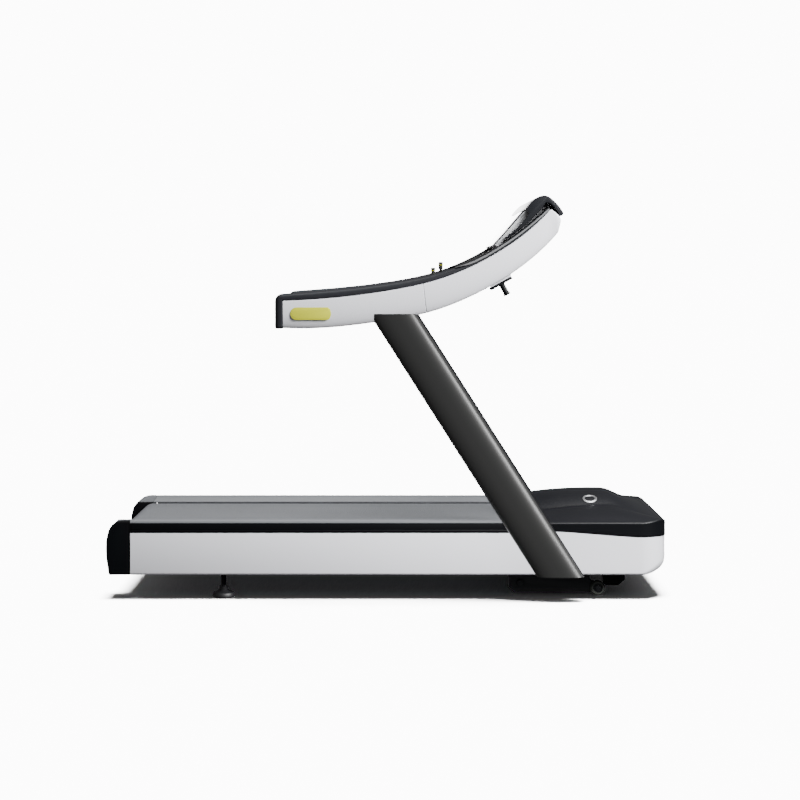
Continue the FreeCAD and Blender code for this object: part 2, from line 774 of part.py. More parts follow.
def hood_edge():
    """Edges of the region above the hood's lower edge, which dips towards the nose."""
    rear, nose = float(size("hood_rear_x")), float(half_length)
    low_rear, low_front = float(size("strip_bottom")), 248
    falls = [(rear, low_rear + 6), (700, low_rear + 5), (860, 258), (1010, low_front)]
    dip = spline(falls + [(nose + 10, low_front)])
    return [
        dip,
        line((nose + 10, low_front), (nose + 10, 600)),
        line((nose + 10, 600), (rear, 600)),
        line((rear, 600), (rear, low_rear + 6)),
    ]


def build_front():
    outer = hood_block(0)
    inner = hood_block(float(wall), 12)
    upper = slab(hood_edge(), -500, 500)
    hood = outer.cut(inner).common(upper)
    node(shape("motor_hood", hood))

    # white shell below it, rounded under the nose and open beneath the lift
    nose, radius = float(half_length), float(size("nose_radius"))
    bottom = float(floor_z)
    seam = float(size("panel_seam_x"))
    bend = radius * (1 - math.sqrt(0.5))

    def profile(inset):
        low, front = bottom + inset, nose - inset
        r = radius - inset
        return slab([
            line((seam, 400), (seam, low)),
            line((seam, low), (front - r, low)),
            arc((front - r, low), (front - bend + inset * 0.3, low + bend - inset * 0.3), (front, low + r)),
            line((front, low + r), (front, 400)),
            line((front, 400), (seam, 400)),
        ], -500, 500)

    skin = outer.common(profile(0)).cut(inner.common(profile(float(wall))))
    skin = skin.cut(upper)
    skin = skin.cut(Part.makeBox(360, 720, 20, Vector(seam - 5, -360, bottom - 5)))
    inlet = Part.makeBox(30, 62, 38, Vector(nose - 20, 194, 127))
    skin = skin.cut(inlet)
    for side in (1, -1):
        y = float(half_deck) - 9 if side > 0 else -float(half_deck) - 1
        window_end = float(size("bracket_x") + size("bracket_length")) + 4
        low, height = float(size("bracket_z")) - 2, float(size("bracket_height")) + 4
        skin = skin.cut(Part.makeBox(window_end - seam + 5, 10, height, Vector(seam - 5, y, low)))
    node(shape("front_shell", skin))

    # small round badges that follow the hood's skin
    lifted = hood_block(-1.5)
    plates = []
    for side in (1, -1):
        centre = Vector(float(size("badge_x")), float(size("badge_y")) * side, 300)
        disc = Part.Face(Part.Wire(Part.makeCircle(float(size("badge_radius")), centre)))
        plates.append(lifted.cut(outer).common(disc.extrude(Vector(0, 0, 200))))
    node(shape("hood_badges", Part.makeCompound([p.Solids[0] for p in plates])))


# ---------------------------------------------------------------- uprights and handrails
def trim_top():
    points = [(-413, 1219), (-200, 1236), (0, 1260), (200, 1301), (367, 1367), (525, 1466), (643, 1566)]
    return spline(points)


def trim_bottom(inset=0):
    """Seam between the black grip and the white shells."""
    points = [(-410, 1192), (-200, 1205), (0, 1231), (200, 1274), (367, 1344), (525, 1442), (647, 1555)]
    return shifted(points, inset, -inset)


def shell_bottom(inset=0):
    points = [(-410, 1083), (-230, 1085), (-27, 1109), (170, 1148), (367, 1225), (525, 1320)]
    return shifted(points + [(624, 1403), (679, 1462)], inset, inset)


def shifted(points, inset, rise):
    """Spline moved up by rise; its two ends also move in by inset."""
    moved = [(x, z + rise) for x, z in points]
    moved[0] = (points[0][0] + inset, moved[0][1])
    moved[-1] = (points[-1][0] - inset, moved[-1][1] - inset)
    return spline(moved)


def arm_outline(inset=0):
    """The two white shells together: from the grip's wrap to the nose of the arm."""
    top, bottom = trim_bottom(inset), shell_bottom(inset)
    rear_top, front_top = top.valueAt(top.FirstParameter), top.valueAt(top.LastParameter)
    rear_low, front_low = bottom.valueAt(bottom.FirstParameter), bottom.valueAt(bottom.LastParameter)
    nose = 687 - inset
    return [
        top,
        line((front_top.x, front_top.z), (nose, 1522 - inset)),
        line((nose, 1522 - inset), (nose, 1490)),
        line((nose, 1490), (front_low.x, front_low.z)),
        bottom,
        line((rear_low.x, rear_low.z), (rear_top.x, rear_top.z)),
    ]


def upright_section(x, y, z, long_half, thick_half):
    """Horizontal oval section: a flattened ellipse, flatter on its sides."""
    power, count = 2.6, 32
    points = []
    for i in range(count):
        a = 2 * math.pi * i / count
        c, s = math.cos(a), math.sin(a)
        u = math.copysign(abs(c) ** (2 / power), c)
        v = math.copysign(abs(s) ** (2 / power), s)
        points.append(Vector(x + long_half * u, y + thick_half * v, z))
    curve = Part.BSplineCurve()
    curve.interpolate(points, PeriodicFlag=True)
    return Part.Face(Part.Wire(curve.toShape()))


def leaning(inset, low, high):
    """Upright's prism between two heights, drawn inset from its skin."""
    long_half = float(size("upright_long")) / 2 - inset * 1.2
    thick_half = float(size("upright_thick")) / 2 - inset
    lean = float(size("upright_lean"))
    x = float(size("upright_foot_x")) - lean * (low - 98)
    y = float(size("overall_width") / 2) - float(size("upright_thick")) / 2
    face = upright_section(x, y, low, long_half, thick_half)
    return face.extrude(Vector(-lean * (high - low), 0, high - low))


def build_arms():
    top_y = float(size("overall_width") / 2)
    low_y = top_y - float(size("arm_width"))
    solid_arm = slab(arm_outline(), low_y, top_y - 0.5)

    # tubular upright, cut to the underside of the handrail
    tube = leaning(0, float(floor_z), 1200).cut(leaning(5, float(floor_z) - 1, 1201))
    pair(shape("left_upright", tube.cut(slab(arm_outline(), low_y - 5, top_y + 5))))

    # hollow white shells, split by a leaning seam
    skin = 4
    pocket = slab(arm_outline(skin), low_y + skin, top_y - 0.5 - skin)
    shells = solid_arm.cut(pocket)
    seam = [(161, 1000), (161, 1100), (139, 1300), (139, 1650)]
    beyond = [(x + 0.6, z) for x, z in seam]
    rear_side = slab(outline(seam + [(-500, 1650), (-500, 1000)]), 0, 600)
    front_side = slab(outline(beyond + [(800, 1650), (800, 1000)]), 0, 600)
    socket = leaning(7, 1050, 1150)
    pair(shape("left_arm_rear_shell", shells.common(rear_side).cut(socket)))
    pair(shape("left_arm_front_shell", shells.common(front_side)))

    # black grip along the top, wrapping down over the rear end
    end, r = float(size("arm_rear_x")), float(size("arm_end_radius"))
    bend = r * (1 - math.sqrt(0.5))
    grip = slab([
        trim_top(),
        line((643, 1566), (647, 1555)),
        trim_bottom(),
        line((-410, 1192), (-410, 1083)),
        line((-410, 1083), (end + 6, 1081)),
        line((end + 6, 1081), (end, 1089)),
        line((end, 1089), (end, 1219 - r)),
        arc((end, 1219 - r), (end + bend, 1219 - bend), (-413, 1219)),
    ], low_y - 1, top_y)
    pair(shape("left_arm_grip", grip))

    # steel core: a spigot in the top of the upright and a bar along the arm
    spigot = leaning(16, 960, 1160)
    bar = slab([
        spline([(-300, 1165), (0, 1192), (200, 1232), (367, 1296), (525, 1392), (610, 1466)]),
        line((610, 1466), (630, 1444)),
        spline([(-300, 1135), (0, 1162), (200, 1200), (367, 1264), (540, 1366), (630, 1444)]),
        line((-300, 1135), (-300, 1165)),
    ], low_y + 26, low_y + 46)
    core = shape("arm_core", spigot.fuse(bar).removeSplitter())
    both("arm_cores", core)

    badge = slab([
        line((-370, 1116), (-231, 1116)), arc((-231, 1116), (-220, 1141), (-231, 1166)),
        line((-231, 1166), (-370, 1166)), arc((-370, 1166), (-381, 1141), (-370, 1116)),
    ], top_y - 0.5, top_y)
    both("arm_badges", shape("arm_badge", badge))


# ---------------------------------------------------------------- console
def build_console():
    arm_inside = float(size("overall_width") / 2) - float(size("arm_width")) - 1.5
    rear = float(size("console_rear_x"))

    # curved back shell that joins the two arms below and in front
    def sheet_between(points, thickness, low_y, high_y):
        upper = spline(points)
        lower = spline([(x + thickness * 0.45, z - thickness * 0.9) for x, z in points])
        ends = [(points[0], 0), (points[-1], -1)]
        caps = [line(p, (p[0] + thickness * 0.45, p[1] - thickness * 0.9)) for p, _ in ends]
        return slab([upper, lower] + caps, low_y, high_y)

    back = [(rear, 1206), (367, 1237), (450, 1284), (525, 1333), (615, 1411), (664, 1465), (678, 1500)]
    node(shape("console_back_shell", sheet_between(back + [(672, 1534)], 5, -arm_inside, arm_inside)))

    # control deck with two round holes for the bottle holders
    deck = [(rear - 55, 1304), (rear, 1323), (367, 1353), (432, 1390), (470, 1414)]
    plate = sheet_between(deck, 5, -arm_inside, arm_inside)
    cup_x, cup_y, cup = float(size("cup_x")), float(size("cup_y")), float(size("cup_radius"))
    for side in (1, -1):
        plate = plate.cut(Part.makeCylinder(cup + 3.3, 400, Vector(cup_x, cup_y * side, 1100)))
    node(shape("console_deck", plate))

    # bottle holders: cups cut flush with the sloping deck
    above = slab([spline(deck), line(deck[-1], (470, 1600)), line((470, 1600), (245, 1600)),
                  line((245, 1600), deck[0])], 0, 400)
    floor = float(size("cup_floor"))
    cup_solid = Part.makeCylinder(cup + 3, 200, Vector(cup_x, cup_y, floor - 4))
    cup_void = Part.makeCylinder(cup, 200, Vector(cup_x, cup_y, floor))
    pair(shape("left_bottle_holder", cup_solid.cut(cup_void).cut(above)))

    # display: glass on a pale wedge-shaped housing
    glass_half = float(size("glass_half"))
    depth = float(size("glass_thickness"))
    foot, head = (428, 1414), (548, 1551)
    along = math.atan2(head[1] - foot[1], head[0] - foot[0])
    dx, dz = depth * math.sin(along), -depth * math.cos(along)
    low_foot, low_head = (foot[0] + dx, foot[1] + dz), (head[0] + dx, head[1] + dz)
    glass = outline([foot, head, low_head, low_foot])
    node(shape("display_glass", slab(glass, -glass_half, glass_half)))
    spine = [(628, 1580), (612, 1556), (594, 1535), (578, 1518), (552, 1494), (526, 1474.5)]
    spine += [(500, 1455), (474, 1436)]
    heel = (441, 1404)
    core = slab([line(low_foot, low_head), line(low_head, spine[0]), spline(spine), line(spine[-1], heel),
                 line(heel, low_foot)], -arm_inside, arm_inside)

    # grey beam behind it, between the two arms
    keel = [(646, 1574), (660, 1534), (560, 1456), (486, 1420)]
    beam = slab([spline(spine), line(spine[-1], keel[-1]), line(keel[0], spine[0])]
                + [line(a, b) for a, b in zip(keel, keel[1:])], -arm_inside, arm_inside)
    node(shape("display_beam", beam))

    # cowl: a hooked cap over the housing, with a tapering cheek down each side
    cowl_half = float(size("cowl_half"))
    brow, chin = (549, 1555), (562, 1537)
    crown = spline([brow, (572, 1583), (600, 1603), (628, 1608), (660, 1589), (684, 1563), (697, 1543)])
    tip = arc((697, 1543), (697, 1532), (686, 1527))
    under = spline([(686, 1527), (668, 1556), (648, 1575), spine[0]])
    cheek_end = (468, 1441)
    cheek = spline([cheek_end, (480, 1450), (510, 1474.5), (533, 1498), (551, 1519.5), chin])
    hook = slab([crown, tip, under, spline(spine), line(spine[-1], cheek_end), cheek, line(chin, brow)],
                -cowl_half, cowl_half)
    above_brow = slab(outline([brow, (700, 1555), (700, 1640), (500, 1640)]), -cowl_half, cowl_half)
    housing = core.cut(hook.common(above_brow))
    node(shape("display_housing", housing))
    over_glass = slab(glass, -arm_inside, arm_inside)
    node(shape("console_cowl", hook.cut(housing).cut(over_glass)))

    # control bar between the arms, with the stop knob's and joysticks' sockets
    bar_x, bar_z = size("bar_x"), size("bar_z")
    inside = size("overall_width") / 2 - size("arm_width") - 1.5
    section = [
        (bar_x - 36, bar_z - 8), (bar_x - 24, bar_z - 18), (bar_x + 24, bar_z - 18), (bar_x + 36, bar_z - 8),
        (bar_x + 36, bar_z + 4), (bar_x + 26, bar_z + 14), (bar_x - 26, bar_z + 14), (bar_x - 36, bar_z + 4),
    ]
    bar = sketched("control_bar_blank", "XZ_Plane", [section], -inside, inside * 2)
    stick_x, stick_y, stop_x = bar_x - 12, size("stick_y"), bar_x + 20
    wells = [cylinder("stop_well", "z", 11, 30, (stop_x, 0, bar_z - 8))]
    for i, side in enumerate((-1, 1)):
        wells.append(cylinder(f"stick_well_{i}", "z", 13, 30, (stick_x, stick_y * side, bar_z - 10)))
    node(cut("control_bar", bar, *wells))

    stem = cylinder("stop_knob_stem", "z", 6, 56, (stop_x, 0, bar_z))
    cap = cylinder("stop_knob_cap", "z", 9, 30, (stop_x, 0, bar_z + 38))
    node(fuse("stop_knob", stem, rounded("stop_knob_round", cap, 3, lambda e: e.Closed)))
    ball = doc.addObject("Part::Sphere", "left_joystick_ball")
    bind(ball, "Radius", 9)
    place(ball, (stick_x, stick_y, bar_z + 2))
    stick = cone("left_joystick_stick", 5, 7.5, 38, (stick_x, stick_y, bar_z + 6))
    pair(fuse("left_joystick", ball, stick))

    # accessory hook under the right side of the console: plate, spacers and peg
    plate_y, plate_width = -395, 60
    near, far = (413, 1236), (498, 1283)
    run = math.hypot(far[0] - near[0], far[1] - near[1])
    tx, tz = (far[0] - near[0]) / run, (far[1] - near[1]) / run
    up = (-tz * 5, tx * 5)
    corners = [(near[0] + up[0], near[1] + up[1]), (far[0] + up[0], far[1] + up[1]),
               (far[0] - up[0], far[1] - up[1]), (near[0] - up[0], near[1] - up[1])]
    base = slab(outline(corners), plate_y + 6, plate_y + 6 + plate_width)
    peg_y = plate_y + 6 + plate_width / 2
    root = Vector(457, peg_y, 1258)
    heading = Vector(tz, 0, -tx)
    peg = Part.makeCylinder(11.5, 46, root, heading)
    knob_end = Part.makeCylinder(13.5, 9, root + heading * 42, heading)
    posts = [Part.makeCylinder(5, 15, Vector(near[0] + tx * d, peg_y, near[1] + tz * d), Vector(-tz, 0, tx))
             for d in (22, 74)]
    hook = base.fuse([peg, knob_end] + posts).removeSplitter()
    node(shape("accessory_hook", hook))


# ---------------------------------------------------------------- build, check and write
def check():
    doc.recompute()
    for obj in doc.Objects:
        if "Invalid" in obj.State or "Error" in obj.State:
            raise RuntimeError(f"{obj.Label} did not compute: {obj.State}")
    for obj in NODES:
        if obj.Shape.isNull() or not obj.Shape.isValid() or not obj.Shape.Solids:
            raise RuntimeError(f"{obj.Label} has no valid solid")


def write():
    os.makedirs("parts", exist_ok=True)
    for obj in NODES:
        obj.Shape.exportStep(f"parts/{obj.Label}.step")
    whole = Part.makeCompound([obj.Shape for obj in NODES]).BoundBox
    print(f"{len(NODES)} nodes, box X {whole.XMin:.1f} {whole.XMax:.1f}, "
          f"Y {whole.YMin:.1f} {whole.YMax:.1f}, Z {whole.ZMin:.1f} {whole.ZMax:.1f}")


build_frame()
build_running_surface()
build_drive()
build_lift()
build_covers()
build_front()
build_arms()
build_console()
check()
write()
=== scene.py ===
import json
import math
import bmesh
import bpy
from mathutils import Matrix, Vector
from mathutils.bvhtree import BVHTree

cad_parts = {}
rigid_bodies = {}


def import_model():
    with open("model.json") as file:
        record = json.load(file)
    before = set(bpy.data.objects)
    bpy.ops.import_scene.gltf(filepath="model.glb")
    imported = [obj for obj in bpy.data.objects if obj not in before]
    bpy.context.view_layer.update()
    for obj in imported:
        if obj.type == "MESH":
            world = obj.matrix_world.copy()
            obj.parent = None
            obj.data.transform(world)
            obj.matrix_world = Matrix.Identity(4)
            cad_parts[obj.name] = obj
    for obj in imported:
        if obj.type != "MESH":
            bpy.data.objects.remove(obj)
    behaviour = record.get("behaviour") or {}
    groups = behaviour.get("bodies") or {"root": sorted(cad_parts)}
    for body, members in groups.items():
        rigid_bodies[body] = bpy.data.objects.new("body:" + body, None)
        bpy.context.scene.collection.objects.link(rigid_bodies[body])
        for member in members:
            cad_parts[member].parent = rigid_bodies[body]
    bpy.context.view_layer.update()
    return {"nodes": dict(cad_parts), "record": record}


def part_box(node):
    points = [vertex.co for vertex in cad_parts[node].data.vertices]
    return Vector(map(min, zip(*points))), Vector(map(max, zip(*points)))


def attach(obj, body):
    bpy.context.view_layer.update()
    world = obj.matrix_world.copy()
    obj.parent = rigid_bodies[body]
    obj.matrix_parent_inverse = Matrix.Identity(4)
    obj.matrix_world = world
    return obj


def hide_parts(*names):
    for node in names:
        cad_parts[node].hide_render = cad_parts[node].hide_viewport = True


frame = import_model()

CAD = frame["nodes"]
SIDES = {"left": 1, "right": -1}


# ---------------------------------------------------------------- materials
class Graph:
    """Short way to write a material's node tree."""

    def __init__(self, name):
        self.material = bpy.data.materials.new(name)
        self.material.use_nodes = True
        self.tree = self.material.node_tree
        self.shader = self.tree.nodes["Principled BSDF"]
        self.place = self.add("ShaderNodeTexCoord").outputs["Object"]

    def add(self, kind, **settings):
        made = self.tree.nodes.new(kind)
        for key, value in settings.items():
            setattr(made, key, value)
        return made

    def link(self, source, target):
        self.tree.links.new(source, target)

    def stretched(self, scale):
        mapping = self.add("ShaderNodeMapping")
        mapping.inputs["Scale"].default_value = scale
        self.link(self.place, mapping.inputs["Vector"])
        return mapping.outputs["Vector"]

    def noise(self, scale, detail=3.0, where=None):
        made = self.add("ShaderNodeTexNoise")
        made.inputs["Scale"].default_value = scale
        made.inputs["Detail"].default_value = detail
        self.link(where or self.place, made.inputs["Vector"])
        return made.outputs["Fac"]

    def cells(self, scale, feature="F1"):
        made = self.add("ShaderNodeTexVoronoi", feature=feature)
        made.inputs["Scale"].default_value = scale
        self.link(self.place, made.inputs["Vector"])
        return made.outputs["Distance"]

    def waves(self, scale, direction, distortion=0.0):
        made = self.add("ShaderNodeTexWave", bands_direction=direction)
        made.inputs["Scale"].default_value = scale
        made.inputs["Distortion"].default_value = distortion
        self.link(self.place, made.inputs["Vector"])
        return made.outputs["Fac"]

    def spread(self, value, low, high):
        made = self.add("ShaderNodeMapRange")
        made.inputs["To Min"].default_value = low
        made.inputs["To Max"].default_value = high
        self.link(value, made.inputs["Value"])
        return made.outputs["Result"]

    def math(self, operation, a, b):
        made = self.add("ShaderNodeMath", operation=operation)
        for socket, value in zip(made.inputs, (a, b)):
            if hasattr(value, "is_output"):
                self.link(value, socket)
            else:
                socket.default_value = value
        return made.outputs[0]

    def colour(self, value, dark, light):
        ramp = self.add("ShaderNodeValToRGB")
        for stop, tone in zip(ramp.color_ramp.elements, (dark, light)):
            stop.color = (*tone, 1)
        self.link(value, ramp.inputs["Fac"])
        self.link(ramp.outputs["Color"], self.shader.inputs["Base Color"])

    def roughness(self, value, low, high):
        self.link(self.spread(value, low, high), self.shader.inputs["Roughness"])

    def bump(self, height, distance):
        made = self.add("ShaderNodeBump")
        made.inputs["Strength"].default_value = 1.0
        made.inputs["Distance"].default_value = distance
        self.link(height, made.inputs["Height"])
        self.link(made.outputs["Normal"], self.shader.inputs["Normal"])

    def set(self, **values):
        for key, value in values.items():
            self.shader.inputs[key.replace("_", " ")].default_value = value
        return self.material


def tones(colour, spread):
    """A darker and a lighter version of one colour."""
    return [tuple(c * k for c in colour) for k in (1 - spread, 1 + spread)]


def moulded(name, colour, rough, grain=900, depth=0.00006, spread=0.06, level=0.5):
    """Moulded plastic: fine spark-eroded grain over a faint colour drift."""
    g = Graph(name)
    drift = g.noise(6, 2)
    fine = g.noise(grain, 2)
    g.colour(drift, *tones(colour, spread))
    mixed = g.math("ADD", g.math("MULTIPLY", drift, 0.5), g.math("MULTIPLY", fine, 0.5))
    g.roughness(mixed, rough - 0.06, rough + 0.06)
    g.bump(fine, depth)
    return g.set(Specular_IOR_Level=level)


def lacquered(name, colour, rough=0.3):
    """Painted moulded shell: smooth film with a slight orange peel."""
    g = Graph(name)
    peel = g.noise(260, 1)
    g.colour(g.noise(3, 2), *tones(colour, 0.018))
    g.roughness(peel, rough - 0.05, rough + 0.05)
    g.bump(peel, 0.00003)
    return g.set(Coat_Weight=0.35, Coat_Roughness=0.18)


def rubbery(name, colour, rough=0.72, grain=1400, depth=0.0001, level=0.4):
    g = Graph(name)
    pebble = g.cells(grain)
    g.colour(g.noise(14, 3), *tones(colour, 0.14))
    g.roughness(pebble, rough - 0.08, rough + 0.08)
    g.bump(pebble, depth)
    return g.set(Specular_IOR_Level=level)


def brushed(name, colour, rough, stretch, metallic=1.0, depth=0.00003, spread=0.08, coat=0.0):
    """Metal with fine lines drawn along one axis."""
    g = Graph(name)
    lines = g.noise(240, 3, g.stretched(stretch))
    g.colour(lines, *tones(colour, spread))
    g.roughness(lines, rough - 0.07, rough + 0.08)
    g.bump(lines, depth)
    return g.set(Metallic=metallic, Coat_Weight=coat, Coat_Roughness=0.25)


def cast(name, colour, rough=0.55, metallic=0.6):
    g = Graph(name)
    lumps = g.noise(420, 4)
    g.colour(g.noise(30, 3), *tones(colour, 0.2))
    g.roughness(lumps, rough - 0.1, rough + 0.15)
    g.bump(lumps, 0.0003)
    return g.set(Metallic=metallic)


def powder_coat(name, colour, rough=0.5):
    g = Graph(name)
    orange = g.cells(500, "SMOOTH_F1")
    g.colour(g.noise(20, 2), *tones(colour, 0.1))
    g.roughness(orange, rough - 0.08, rough + 0.1)
    g.bump(orange, 0.00012)
    return g.set(Specular_IOR_Level=0.5)


def belt_rubber(name, colour):
    """Running belt: a fine pebble over a weave, with faint lengthwise traffic marks; its grey base tone is
    painted sheen over black rubber.
    """
    g = Graph(name)
    weave = g.math("MULTIPLY", g.waves(260, "X"), g.waves(260, "Y"))
    pebble = g.cells(700)
    streaks = g.noise(9, 4, g.stretched((0.25, 3.0, 1.0)))
    worn = g.math("ADD", g.math("MULTIPLY", streaks, 0.7), g.math("MULTIPLY", pebble, 0.4))
    g.colour(worn, *tones(colour, 0.16))
    g.roughness(streaks, 0.52, 0.7)
    g.bump(g.math("ADD", weave, pebble), 0.00025)
    return g.set(Specular_IOR_Level=0.45)


def plywood(name):
    """Deck board: waxed phenolic face, ply lines on the edges."""
    g = Graph(name)
    plies = g.waves(90, "Z", distortion=0.6)
    g.colour(plies, (0.035, 0.025, 0.018), (0.12, 0.085, 0.055))
    g.roughness(g.noise(60), 0.35, 0.5)
    g.bump(plies, 0.0001)
    return g.material


def screen_glass(name):
    g = Graph(name)
    smear = g.noise(18, 4)
    g.colour(g.noise(2, 1), (0.004, 0.0045, 0.006), (0.009, 0.010, 0.013))
    g.roughness(smear, 0.05, 0.12)
    g.bump(smear, 0.00001)
    return g.set(Coat_Weight=0.6, Coat_Roughness=0.04)


MATERIALS = {
    "frame_paint": powder_coat("frame_paint", (0.035, 0.037, 0.04)),
    "lift_paint": powder_coat("lift_paint", (0.006, 0.007, 0.010), 0.55),
    "deck_board": plywood("deck_board"),
    "cushion_rubber": rubbery("cushion_rubber", (0.02, 0.02, 0.02)),
    # belt: the grey base colour is painted sheen; the rubber itself is near black
    "belt": belt_rubber("belt", (0.1, 0.104, 0.112)),
    "roller_steel": brushed("roller_steel", (0.55, 0.56, 0.57), 0.3, (1, 40, 1)),
    "cast_metal": cast("cast_metal", (0.1, 0.1, 0.105)),
    "motor_case": cast("motor_case", (0.03, 0.03, 0.032), 0.5, 0.3),
    "drive_belt": rubbery("drive_belt", (0.015, 0.015, 0.015), 0.6),
    "controller_metal": brushed("controller_metal", (0.5, 0.51, 0.52), 0.4, (30, 1, 1)),
    "black_plastic": moulded("black_plastic", (0.0018, 0.002, 0.0028), 0.48, level=0.1),
    "white_panel": lacquered("white_panel", (0.72, 0.724, 0.765)),
    "foot_rail_grey": moulded("foot_rail_grey", (0.1, 0.105, 0.113), 0.5, 700, 0.00015, 0.08),
    "hood_plastic": moulded("hood_plastic", (0.0035, 0.0037, 0.005), 0.42, 1100, 0.00004, level=0.2),
    "silver_badge": brushed("silver_badge", (0.62, 0.63, 0.64), 0.3, (20, 1, 1)),
    "upright_metal": brushed("upright_metal", (0.03, 0.03, 0.0295), 0.36, (3, 30, 0.6), 0.3, 0.00002, 0.06),
    "arm_white": lacquered("arm_white", (0.6, 0.603, 0.638), 0.28),
    "grip_black": rubbery("grip_black", (0.006, 0.0065, 0.009), 0.55, 1600, 0.00005, 0.25),
    "badge_green": lacquered("badge_green", (0.42, 0.43, 0.02), 0.25),
    "cowl_black": moulded("cowl_black", (0.006, 0.0065, 0.008), 0.26, 1200, 0.00002, level=0.35),
    "housing_grey": moulded("housing_grey", (0.62, 0.63, 0.65), 0.35),
    # beam_grey: its grey tone is a painted highlight on the display beam and painted shade on the console's
    # side edges
    "beam_grey": powder_coat("beam_grey", (0.1, 0.102, 0.106), 0.36),
    "display_dark": screen_glass("display_dark"),
    "cup_plastic": moulded("cup_plastic", (0.02, 0.021, 0.024), 0.45),
    "wheel_rubber": rubbery("wheel_rubber", (0.05, 0.056, 0.05), 0.6, 900),
    "leveller_black": moulded("leveller_black", (0.009, 0.009, 0.011), 0.5),
    "knob_black": moulded("knob_black", (0.03, 0.031, 0.026), 0.35),
    "stick_black": moulded("stick_black", (0.03, 0.032, 0.024), 0.4),
}
for part in frame["record"]["subparts"]:
    mesh = CAD[part["node"]].data
    mesh.materials.clear()
    mesh.materials.append(MATERIALS[part["material_slot"]])
    mesh.shade_smooth()
    mesh.set_sharp_from_angle(angle=math.radians(30))


# ---------------------------------------------------------------- mesh building
def linked(name, data):
    """New object for a mesh, light or camera, in the scene's own collection."""
    obj = bpy.data.objects.new(name, data)
    bpy.context.scene.collection.objects.link(obj)
    return obj


def shaded(obj, sharp):
    """Smooth shading, broken at edges sharper than the given angle in degrees."""
    obj.data.shade_smooth()
    obj.data.set_sharp_from_angle(angle=math.radians(sharp))


def piece(name, verts, faces, slot, body="base", replaces=(), bevel=0.0, segments=3, sharp=35, fold=30):
    """One finished mesh piece: rounded edges, smooth shading, its body and the CAD node it stands for."""
    mesh = bpy.data.meshes.new(name)
    mesh.from_pydata([tuple(v) for v in verts], [], faces)
    work = bmesh.new()
    work.from_mesh(mesh)
    bmesh.ops.remove_doubles(work, verts=work.verts, dist=1e-6)
    bmesh.ops.recalc_face_normals(work, faces=work.faces)
    work.to_mesh(mesh)
    work.free()
    obj = linked(name, mesh)
    if bevel:
        edge = obj.modifiers.new("round", "BEVEL")
        edge.width, edge.segments = bevel, segments
        edge.limit_method, edge.angle_limit = "ANGLE", math.radians(fold)
        settle(obj)
    shaded(obj, sharp)
    obj.data.materials.append(MATERIALS[slot])
    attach(obj, body)
    if replaces:
        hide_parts(*replaces)
    return obj


def settle(obj):
    """Applies an object's modifiers to its mesh."""
    graph = bpy.context.evaluated_depsgraph_get()
    graph.update()
    finished = bpy.data.meshes.new_from_object(obj.evaluated_get(graph))
    obj.modifiers.clear()
    obj.data = finished


def joined(shapes):
    """Several (verts, faces) pairs as one."""
    verts, faces = [], []
    for more_verts, more_faces in shapes:
        start = len(verts)
        verts += more_verts
        faces += [tuple(i + start for i in f) for f in more_faces]
    return verts, faces


def loft(rings, closed=True, caps=True):
    """Quads between successive rings of points."""
    count = len(rings[0])
    verts = [Vector(p) for ring in rings for p in ring]
    faces = []
    for r in range(len(rings) - 1):
        for i in range(count if closed else count - 1):
            j = (i + 1) % count
            a, b = r * count, (r + 1) * count
            faces.append((a + i, a + j, b + j, b + i))
    if caps:
        last = (len(rings) - 1) * count
        faces.append(tuple(reversed(range(count))))
        faces.append(tuple(range(last, last + count)))
    return verts, faces


def slab(outline, low_y, high_y):
    """An XZ outline extruded along Y."""
    return loft([[(x, y, z) for x, z in outline] for y in (low_y, high_y)])


def block(low, high):
    return slab([(low[0], low[2]), (high[0], low[2]), (high[0], high[2]), (low[0], high[2])], low[1], high[1])


def lathe(profile, centre, axis, steps=48):
    """Turns (radius, distance along the axis) points about an axis; the profile's ends are closed."""
    turn = Vector((0, 0, 1)).rotation_difference(Vector(axis)).to_matrix().to_4x4()
    place = Matrix.Translation(centre) @ turn
    rings = []
    for radius, along in profile:
        angles = [2 * math.pi * i / steps for i in range(steps)]
        rings.append([place @ Vector((radius * math.cos(a), radius * math.sin(a), along)) for a in angles])
    return loft(rings)


def oval(centre, across, up, half_across, half_up, power, count=40):
    """Superellipse ring: power 2 is an ellipse, higher is boxier."""
    points = []
    for i in range(count):
        a = 2 * math.pi * (i + 0.5) / count
        c, s = math.cos(a), math.sin(a)
        u = math.copysign(abs(c) ** (2 / power), c) * half_across
        v = math.copysign(abs(s) ** (2 / power), s) * half_up
        points.append(centre + across * u + up * v)
    return points


def spaced(low, high, count):
    return [low + (high - low) * i / (count - 1) for i in range(count)]


def blend(a, b, t):
    return a + (b - a) * t


def ease(t):
    t = min(max(t, 0.0), 1.0)
    return t * t * (3 - 2 * t)


class Probe:
    """Reads a CAD node's surface by casting rays at it."""

    def __init__(self, *names):
        verts, faces = joined([
            ([v.co.copy() for v in CAD[n].data.vertices], [tuple(p.vertices) for p in CAD[n].data.polygons])
            for n in names
        ])
        self.tree = BVHTree.FromPolygons(verts, faces)

    def top(self, x, y):
        return self.hit((x, y, 5), (0, 0, -1)).z

    def bottom(self, x, y):
        return self.hit((x, y, -5), (0, 0, 1)).z

    def hit(self, start, direction):
        point = self.tree.ray_cast(Vector(start), Vector(direction))[0]
        if point is None:
            raise ValueError(f"no CAD surface from {start} towards {direction}")
        return point


